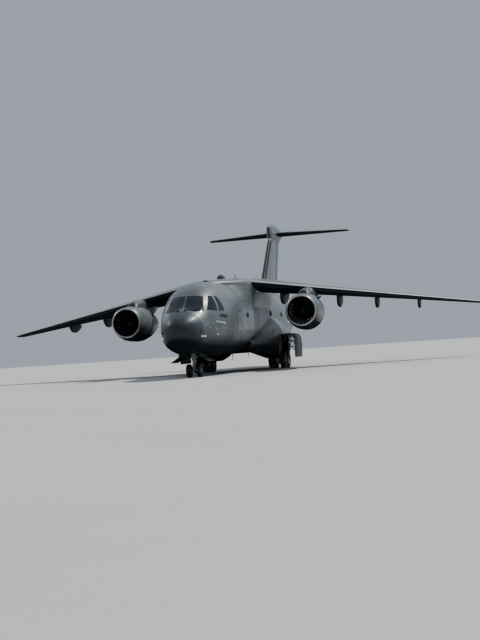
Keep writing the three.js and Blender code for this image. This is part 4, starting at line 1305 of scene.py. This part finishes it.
def fan(side_name, side):
    blades, spinner = Shape(), Shape()
    centre = at(side * ENGINE_X, ENGINE_STATION + FAN_FACE, ENGINE_Z)
    rows = blade_rows()
    for i in range(BLADES):
        turn = Matrix.Rotation(2 * math.pi * i / BLADES, 3, "Y")
        blades.rings([[centre + turn @ spot for spot in row] for row in rows])
    spinner.lathe(centre, (0, 1, 0), SPINNER, 40)
    made = blades.make(f"fan_blades_{side_name}", shaded_titanium, f"fan_{side_name}", "engine", 60)
    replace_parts(made, f"fan_{side_name}")
    spinner.make(f"spinner_{side_name}", steel, f"fan_{side_name}", "engine")


for side_name, side in SIDES:
    fan(side_name, side)


# A ring round an upright leg, from an inner to an outer radius
def collar(shape, middle, inner, outer, half):
    profile = [(-half, inner), (-half, outer), (half, outer), (half, inner)]
    shape.lathe(middle, (0, 0, 1), profile, 24, loop=True)


# Collars of the legs. Columns: height, radius
NOSE_COLLARS = ((1.02, 0.155), (1.32, 0.15), (1.75, 0.155), (2.3, 0.15))
MAIN_COLLARS = ((1.34, 0.175), (1.7, 0.17), (2.1, 0.175))
# A hose down the nose leg. Columns: x, ahead of the leg, height
NOSE_HOSE = ((0.12, 0.1, 2.2), (0.15, 0.14, 1.8), (0.13, 0.13, 1.4), (0.15, 0.1, 1.08))
# A taxi lamp, as [aft, radius] points
LAMP = [(0, 0.012), (-0.005, 0.085), (0.01, 0.095), (0.06, 0.085), (0.1, 0.04), (0.1, 0.012)]


# Steering jacks, braces, taxi lamps, hoses and torque links of the nose gear
def nose_gear_fittings():
    s = NOSE_GEAR_STATION
    leg, lamps, hoses, fork = Shape(), Shape(), Shape(), Shape()
    for z, r in NOSE_COLLARS:
        collar(leg, at(0, s, z), 0.1, r, 0.035)
    for side in (-1, 1):
        leg.rod(at(side * 0.14, s - 0.02, 1.18), at(side * 0.14, s + 0.34, 1.22), 0.05, 14)
        leg.rod(at(side * 0.1, s, 1.75), at(side * 0.42, s + 0.35, 2.6), 0.04, 12)
        lamps.lathe(at(side * 0.2, s - 0.16, 1.52), (0, 1, 0), LAMP, 24)
        leg.rod(at(0, s, 1.52), at(side * 0.2, s - 0.1, 1.52), 0.022, 10)
    hoses.tube([at(x, s - ahead, z) for x, ahead, z in NOSE_HOSE], 0.014)
    fork.box(at(0, s + 0.16, 0.78), (0.05, 0.12, 0.03), ((1, 0, 0), (0, 0.75, 0.66), (0, -0.66, 0.75)))
    hub = [(-0.09, 0.06), (-0.09, 0.125), (0.09, 0.115), (0.09, 0.06)]
    fork.lathe(at(0, s, 0.62), (0, 0, 1), hub, 20, loop=True)
    leg.make("nose_leg_fittings", gear_paint, "airframe", "gear")
    lamps.make("taxi_lamps", bright, "airframe", "engine")
    hoses.make("nose_hoses", hose_black, "airframe", "tyre")
    fork.make("nose_fork_links", gear_paint, "nose_steering", "gear")


nose_gear_fittings()

# A brake hose of a main wheel pair. Columns: outward, aft towards the wheels, height
BRAKE_HOSE = ((0.12, 0.1, 1.5), (0.16, 0.25, 1.1), (0.15, 0.5, 0.8), (0.14, 0.62, 0.7))
# The jointed links between the sponson and its outboard door. Columns: x, aft of the link's station, height
KNEES = ((3.42, 0, 2.27), (3.84, 0.1, 2.1), (3.66, 0.14, 1.88), (4.07, 0.1, 1.7), (3.86, 0.05, 1.44),
         (4.08, 0.0, 1.2))
LINK_STATIONS = (15.0, 16.2, 17.35)


# Collars, brace, torque arms and hoses of a main leg
def main_gear_fittings(side_name, side):
    leg, hoses = Shape(), Shape()
    x, s = side * GEAR_X, GEAR_STATION
    for z, r in MAIN_COLLARS:
        collar(leg, at(x, s, z), 0.12, r, 0.04)
    leg.rod(at(x, s - 0.95, 2.3), at(x, s - 0.1, 1.5), 0.05, 14)
    leg.rod(at(x + side * 0.1, s, 1.6), at(x + side * 0.62, s, 2.2), 0.045, 14)
    for end in (-1, 1):
        arm_axes = ((1, 0, 0), (0, 0.77, -0.64 * end), (0, 0.64 * end, 0.77))
        leg.box(at(x, s + end * 0.3, 0.86), (0.06, 0.2, 0.03), arm_axes)
        hoses.tube([at(x + side * out, s + end * aft, z) for out, aft, z in BRAKE_HOSE], 0.016)
    leg.make(f"main_leg_fittings_{side_name}", gear_paint, "airframe", "gear")
    door_links(side_name, side)
    hoses.make(f"main_hoses_{side_name}", hose_black, "airframe", "tyre")


def door_links(side_name, side):
    links = Shape()
    half_pin = Vector((0, 0.07, 0))
    for s in LINK_STATIONS:
        row = [at(side * x, s + aft, z) for x, aft, z in KNEES]
        for a, b in zip(row, row[1:]):
            links.rod(a, b, 0.026, 10)
            links.rod(b - half_pin, b + half_pin, 0.045, 14)
    for x, _, z in (KNEES[2], KNEES[4]):
        links.rod(at(side * x, 15.1, z), at(side * x, 17.45, z), 0.018, 10)
    links.make(f"door_links_{side_name}", link_paint, "airframe", "gear")


for side_name, side in SIDES:
    main_gear_fittings(side_name, side)


# Small things on the skin
# The direction straight out of the skin
def skin_out(station, z, side):
    return (skin(station, z, side, 1.0) - skin(station, z, side)).normalized()


# A thin plate that follows the skin between four [station, z] corners
def skin_plate(shape, corners, side, lift, across=4, along=10):
    a, b, c, d = (Vector(p) for p in corners)
    rings = []
    for i in range(along + 1):
        low, high = a.lerp(b, i / along), d.lerp(c, i / along)
        row = [low.lerp(high, k / across) for k in range(across + 1)]
        rings.append([skin(*p, side, lift) for p in row] + [skin(*p, side, -0.006) for p in reversed(row)])
    shape.rings(rings)


# A low round cap on the skin, and a ring round one
def skin_disc(shape, station, z, side, radius, lift=0.003):
    out = skin_out(station, z, side)
    profile = [(-0.03, radius), (lift * 0.6, radius), (lift, radius * 0.9), (lift, radius * 0.02)]
    shape.lathe(skin(station, z, side), out, profile, 28)


def skin_frame(shape, station, z, side, radius, width):
    out = skin_out(station, z, side)
    profile = [(-0.02, radius), (0.006, radius), (0.006, radius + width), (-0.02, radius + width)]
    shape.lathe(skin(station, z, side), out, profile, 28, loop=True)


strip_light = painted("strip_lights", (0.36, 0.4, 0.36), rough=0.3, dirt=0.2, belly=0.0)
lens = painted("lamp_lens", (0.62, 0.64, 0.62), rough=0.12, dirt=0.1, coat=0.8, belly=0.0)
# Near black: painted shade inside the vents and behind the windows and ports, and the dark seams
vent_shade_and_seam_dark = painted("vent_shade_and_seam_dark", (0.012, 0.013, 0.015), rough=0.5, dirt=0.2, coat=0.1)


# Seams on the side of the hull: a panel with a rounded top, and joins beside it
SIDE_SEAMS = [
    [(6.0, 1.75), (6.0, 2.4), (6.0, 3.0), (6.0, 3.7), (6.08, 3.83), (6.2, 3.88), (6.9, 3.9), (7.03, 3.85),
     (7.1, 3.72), (7.12, 3.0), (7.13, 2.4), (7.15, 1.75)],
    [(6.55, 1.75), (6.5, 2.5), (6.48, 3.3), (6.5, 3.88)],
    [(5.72, 1.8), (5.7, 2.6), (5.68, 3.4), (5.7, 4.2)],
    [(8.0, 1.8), (8.0, 2.6), (8.0, 3.3)],
    [(3.0, 2.75), (3.7, 2.7), (4.1, 2.68)],
]
# Plates on the skin, by their [station, z] corners
NOSE_VENT = [(3.1, 3.5), (4.12, 3.42), (4.12, 3.61), (3.1, 3.68)]
LIGHT_STRIPS = [
    [(2.52, 3.17), (3.84, 3.06), (3.84, 3.17), (2.52, 3.27)],
    [(22.4, 3.3), (24.4, 3.4), (24.4, 3.52), (22.4, 3.42)],
]
NOSE_LENSES = [
    [(1.0, 2.34), (1.42, 2.32), (1.42, 2.42), (1.0, 2.44)],
    [(2.62, 2.42), (2.9, 2.41), (2.9, 2.49), (2.62, 2.5)],
]
# Columns: station, height
ROUND_WINDOWS = ((8.4, 3.68), (16.2, 3.9), (20.2, 3.9))
WINDOW_RADIUS = 0.16
# Columns: station, height, radius
PORTS = ((6.9, 4.72, 0.09), (0.98, 2.68, 0.1), (6.04, 4.25, 0.05))


def skin_details():
    dark, strips, lenses, frames, seams = Shape(), Shape(), Shape(), Shape(), Shape()
    for _, side in SIDES:
        skin_plate(dark, NOSE_VENT, side, 0.004)
        for corners in LIGHT_STRIPS:
            skin_plate(strips, corners, side, 0.004)
        for s, z in ROUND_WINDOWS:
            skin_disc(dark, s, z, side, WINDOW_RADIUS, 0.07)
            skin_frame(frames, s, z, side, WINDOW_RADIUS, 0.035)
        for points in SIDE_SEAMS:
            seams.tube([skin(s, z, side) for s, z in points], 0.013, 8)
        for s, z, radius in PORTS:
            skin_disc(dark, s, z, side, radius)
        for corners in NOSE_LENSES:
            skin_plate(lenses, corners, side, 0.006)
    dark.make("skin_vents_and_windows", vent_shade_and_seam_dark, "airframe", "glass")
    strips.make("formation_lights", strip_light, "airframe", "gear")
    lenses.make("nose_lenses", lens, "airframe", "gear")
    frames.make("window_rings", paint_plain, "airframe", "paint")
    seams.make("side_seams", vent_shade_and_seam_dark, "airframe", "dark_composite")


# Raised frames round the side panes of the cockpit
def pane_frames():
    shape = Shape()
    for _, side in SIDES:
        for pane in SIDE_PANES:
            edge = rounded(pane, PANE_CORNER, 0.0, 4)
            outer = rounded(pane, PANE_CORNER + 0.02, 0.05, 4)
            shape.rings([[skin(s0, z0, side, 0.004), skin(s1, z1, side, 0.006), skin(s1, z1, side, -0.01),
                          skin(s0, z0, side, -0.02)] for (s0, z0), (s1, z1) in zip(edge, outer)], loop=True)
    shape.make("side_pane_frames", paint_plain, "airframe", "paint")


skin_details()
pane_frames()


# The nose's skin straight ahead of a place across it, found by halving
def nose_front(x, z, lift=0.0):
    low, high = 0.3, 4.2
    for _ in range(30):
        middle = (low + high) / 2
        inside = abs(x) < row_at(HULL, middle)[1] and skin_top(middle, x) > z
        low, high = (low, middle) if inside else (middle, high)
    return at(x, high - lift, z + lift * 0.6)


# A wiper from foot to tip. Columns: x, height, lift off the skin
WIPER = ((0.2, 3.93, 0.02), (0.62, 3.96, 0.07), (0.9, 4.1, 0.04))
# Air data probes. Columns: station, height
PROBES = ((1.55, 3.05), (1.75, 2.86), (2.6, 2.75))


def nose_fittings():
    dark, probes = Shape(), Shape()
    for _, side in SIDES:
        arm = [nose_front(side * x, z, lift) for x, z, lift in WIPER]
        dark.tube(arm, 0.022, 10)
        dark.lathe(arm[0], (0, -1, 0.6), [(-0.05, 0.05), (0.06, 0.05), (0.08, 0.03), (0.08, 0.002)], 20)
        for s, z in PROBES:
            root, out = skin(s, z, side), skin_out(s, z, side)
            elbow = root + out * 0.13
            bend, tip = elbow + Vector((0, -0.05, 0)), elbow + Vector((0, -0.26, 0))
            probes.tube([root - out * 0.01, root + out * 0.1, bend, tip], 0.014, 10)
            probes.lathe(root, out, [(-0.01, 0.05), (0.012, 0.045), (0.012, 0.002)], 20)
    dark.make("wipers", hose_black, "airframe", "dark_composite")
    probes.make("probes", bright, "airframe", "engine")


nose_fittings()


# A swept blade. Its section and its stages are shares of the chord and the height.
BLADE_RING = ((-0.5, 0), (-0.3, 0.7), (0, 1), (0.3, 0.7), (0.5, 0), (0.3, -0.7), (0, -1), (-0.3, -0.7))
# Columns: share of the height, share of the chord, lean aft
BLADE_STAGES = ((-0.1, 1, 0), (0.4, 0.86, 0.12), (0.8, 0.66, 0.26), (1, 0.4, 0.36))


def blade_antenna(shape, foot, height, chord, up_axis=(0, 0, 1), thick=0.08):
    rings = []
    for share, length, lean in BLADE_STAGES:
        centre = foot + Vector(up_axis) * height * share + Vector((0, lean * chord, 0))
        rings.append([centre + Vector((off * thick * chord * length, along * chord * length, 0))
                      for along, off in BLADE_RING])
    shape.rings(rings)


# Columns: station, height of the blade, chord
ROOF_BLADES = ((22.6, 0.34, 0.3), (26.4, 0.3, 0.26))
BELLY_BLADES = ((6.4, 0.3, 0.26), (10.2, 0.26, 0.26), (13.4, 0.46, 0.26), (18.4, 0.3, 0.26))
# Columns: station, x
ROOF_BUMPS = ((8.3, 0.25), (8.3, -0.25), (7.2, 0.0))
BUMP = [(-0.12, 0.2), (0.03, 0.18), (0.075, 0.1), (0.085, 0.004)]


def antennas():
    shape, bumps = Shape(), Shape()
    blade_antenna(shape, at(0, 15.8, 6.2), 0.62, 0.16, thick=0.3)
    for s, height, chord in ROOF_BLADES:
        blade_antenna(shape, at(0, s, skin_top(s, 0)), height, chord)
    for s, height, chord in BELLY_BLADES:
        blade_antenna(shape, at(0, s, skin_top(s, 0, True)), height, chord, (0, 0, -1))
    for s, x in ROOF_BUMPS:
        bumps.lathe(at(x, s, skin_top(s, x) + 0.05), (0, 0, 1), BUMP, 28)
    shape.make("blade_antennas", paint_dark, "airframe", "dark_composite")
    bumps.make("roof_bumps", paint_dark, "airframe", "dark_composite")


antennas()


# The sloping front of a sponson. Columns: station, x and height of its top, x and height of its foot
SPONSON_FRONT = [(12.6, 2.56, 2.46, 2.73, 2.08), (15.7, 2.88, 3.01, 3.27, 2.24)]
# Vents on it, by their corners as shares along it and down it
SPONSON_VENTS = (
    ((0.5, 0.12), (0.6, 0.06), (0.42, 0.8), (0.3, 0.84)),
    ((0.66, 0.04), (0.72, 0.04), (0.7, 0.14), (0.64, 0.14)),
    ((0.1, 0.35), (0.16, 0.3), (0.14, 0.6), (0.07, 0.64)),
    ((0.24, 0.3), (0.3, 0.3), (0.29, 0.42), (0.23, 0.42)),
)
# Upright ribs inside an outboard door, and the bars across them. Columns: x, height
DOOR_RIB = ((3.36, 2.29), (3.8, 2.3), (3.97, 2.2), (4.09, 2.0), (4.12, 1.5), (4.08, 0.8))
DOOR_BARS = ((4.11, 1.9), (4.11, 1.4), (4.08, 0.95))


def sponson_spot(side, along, down, lift):
    station, high_x, high_z, low_x, low_z = (u + (v - u) * along for u, v in zip(*SPONSON_FRONT))
    low, high = Vector((low_x, 0, low_z)), Vector((high_x, 0, high_z))
    flat = high.lerp(low, down)
    slope = (low - high).normalized()
    return at(side * (flat.x - slope.z * lift), station, flat.z + slope.x * lift)


def sponson_vents():
    shape = Shape()
    for _, side in SIDES:
        for corners in SPONSON_VENTS:
            shape.rings([[sponson_spot(side, a, d, lift) for a, d in corners] for lift in (-0.02, 0.006)])
    shape.make("sponson_vents", vent_shade_and_seam_dark, "airframe", "dark_composite")


def gear_door_ribs():
    ribs = Shape()
    for _, side in SIDES:
        for i in range(7):
            ribs.tube([at(side * x, 15.0 + i * 0.4, z) for x, z in DOOR_RIB], 0.022, 8)
        for x, z in DOOR_BARS:
            ribs.rod(at(side * x, 14.9, z), at(side * x, 17.44, z), 0.02, 8)
    ribs.make("gear_door_ribs", gear_paint, "airframe", "gear")


sponson_vents()
gear_door_ribs()


# Columns: aft, height of the strake over the nacelle
STRAKE = ((0, 0.0), (0.35, 0.2), (0.8, 0.3), (1.15, 0.26))
STRAKE_TURN, STRAKE_FOOT = math.radians(48), 0.035


# A strake on the upper side of each nacelle and a drain mast below it
def engine_fittings():
    shape, masts = Shape(), Shape()
    for _, side in SIDES:
        out = Vector((side * math.sin(STRAKE_TURN), 0, math.cos(STRAKE_TURN)))
        root = at(side * ENGINE_X, ENGINE_STATION + 1.35, ENGINE_Z) + out * 1.1
        cross = out.cross(Vector((0, 1, 0))) * 0.012
        rings = []
        for aft, high in STRAKE:
            foot = root + Vector((0, aft, 0)) - out * 0.03
            top = foot + out * (high + STRAKE_FOOT)
            rings.append([foot - cross, foot + cross, top + cross * 0.5, top - cross * 0.5])
        shape.rings(rings)
        foot = at(side * (ENGINE_X + 0.35), ENGINE_STATION + 0.55, ENGINE_Z - 1.0)
        blade_antenna(masts, foot, 0.2, 0.16, (0, 0, -1), 0.2)
    shape.make("nacelle_strakes", paint_plain, "airframe", "paint")
    masts.make("drain_masts", hose_black, "airframe", "dark_composite")


engine_fittings()

# A wing tip lamp, as [outward, radius] points
TIP_LAMP = [(-0.05, 0.055), (0.01, 0.05), (0.035, 0.03), (0.04, 0.003)]
# Static wicks. Columns: x, station of the root and of the tip, height of the root
AILERON_WICKS = ((13.6, 18.0, 18.26, 4.04), (14.8, 18.15, 18.41, 3.88), (16.0, 18.31, 18.57, 3.72))
TIP_WICKS = ((17.2, 18.49, 18.75, 3.55),)
TAIL_WICKS = ((3.4, 34.45, 34.75, 11.11), (4.6, 34.57, 34.87, 11.11), (5.6, 34.67, 34.97, 11.11))


def wicks(name, side, body, places):
    shape = Shape()
    for x, root, tip, z in places:
        shape.rod(at(side * x, root, z), at(side * x, tip, z - 0.01), 0.006, 8)
    shape.make(name, hose_black, body, "dark_composite")


# Lamps at the wing tips and static wicks
def wing_fittings():
    lamps = Shape()
    for side_name, side in SIDES:
        lamps.lathe(at(side * 17.47, 17.2, 3.575), (side, 0, 0), TIP_LAMP, 16)
        wicks(f"wing_wicks_{side_name}", side, f"aileron_{side_name}", AILERON_WICKS)
        wicks(f"tail_wicks_{side_name}", side, f"elevator_{side_name}", TAIL_WICKS)
        wicks(f"tip_wicks_{side_name}", side, "airframe", TIP_WICKS)
    lamps.make("tip_lamps", lens, "airframe", "glass")


wing_fittings()

# Floor and light
FLOOR_HALF = 600
SKY_COLOUR, SKY_STRENGTH = (0.66, 0.75, 0.87, 1), 0.55

floor_mesh = bpy.data.meshes.new("floor")
corners = [(x * FLOOR_HALF, y * FLOOR_HALF, 0) for x, y in ((-1, -1), (1, -1), (1, 1), (-1, 1))]
floor_mesh.from_pydata(corners, [], [(0, 1, 2, 3)])
floor = placed("floor", floor_mesh)
floor_look = Look("floor_pale")
pale = floor_look.mix(floor_look.noise(0.2, 3), (0.4, 0.4, 0.4), (0.44, 0.44, 0.44))
floor_look.set(Base_Color=pale, Roughness=0.8)
floor_mesh.materials.append(floor_look.material)

world = bpy.data.worlds.new("studio")
bpy.context.scene.world = world
world.use_nodes = True
background = world.node_tree.nodes["Background"]
background.inputs["Color"].default_value = SKY_COLOUR
background.inputs["Strength"].default_value = SKY_STRENGTH


# A far lamp, by the angle round the aircraft that its light comes from and its height above the floor
def sun(name, azimuth, height, strength, angle, colour):
    lamp = bpy.data.lights.new(name, "SUN")
    lamp.energy = strength
    lamp.angle = math.radians(angle)
    lamp.color = colour
    a, h = math.radians(azimuth), math.radians(height)
    towards = Vector((math.cos(a) * math.cos(h), math.sin(a) * math.cos(h), math.sin(h)))
    placed(name, lamp).rotation_euler = towards.to_track_quat("Z", "Y").to_euler()


sun("key_light", 40, 55, 4.4, 3, (1, 0.97, 0.92))
sun("back_light", 150, 30, 0.7, 12, (0.95, 0.98, 1))
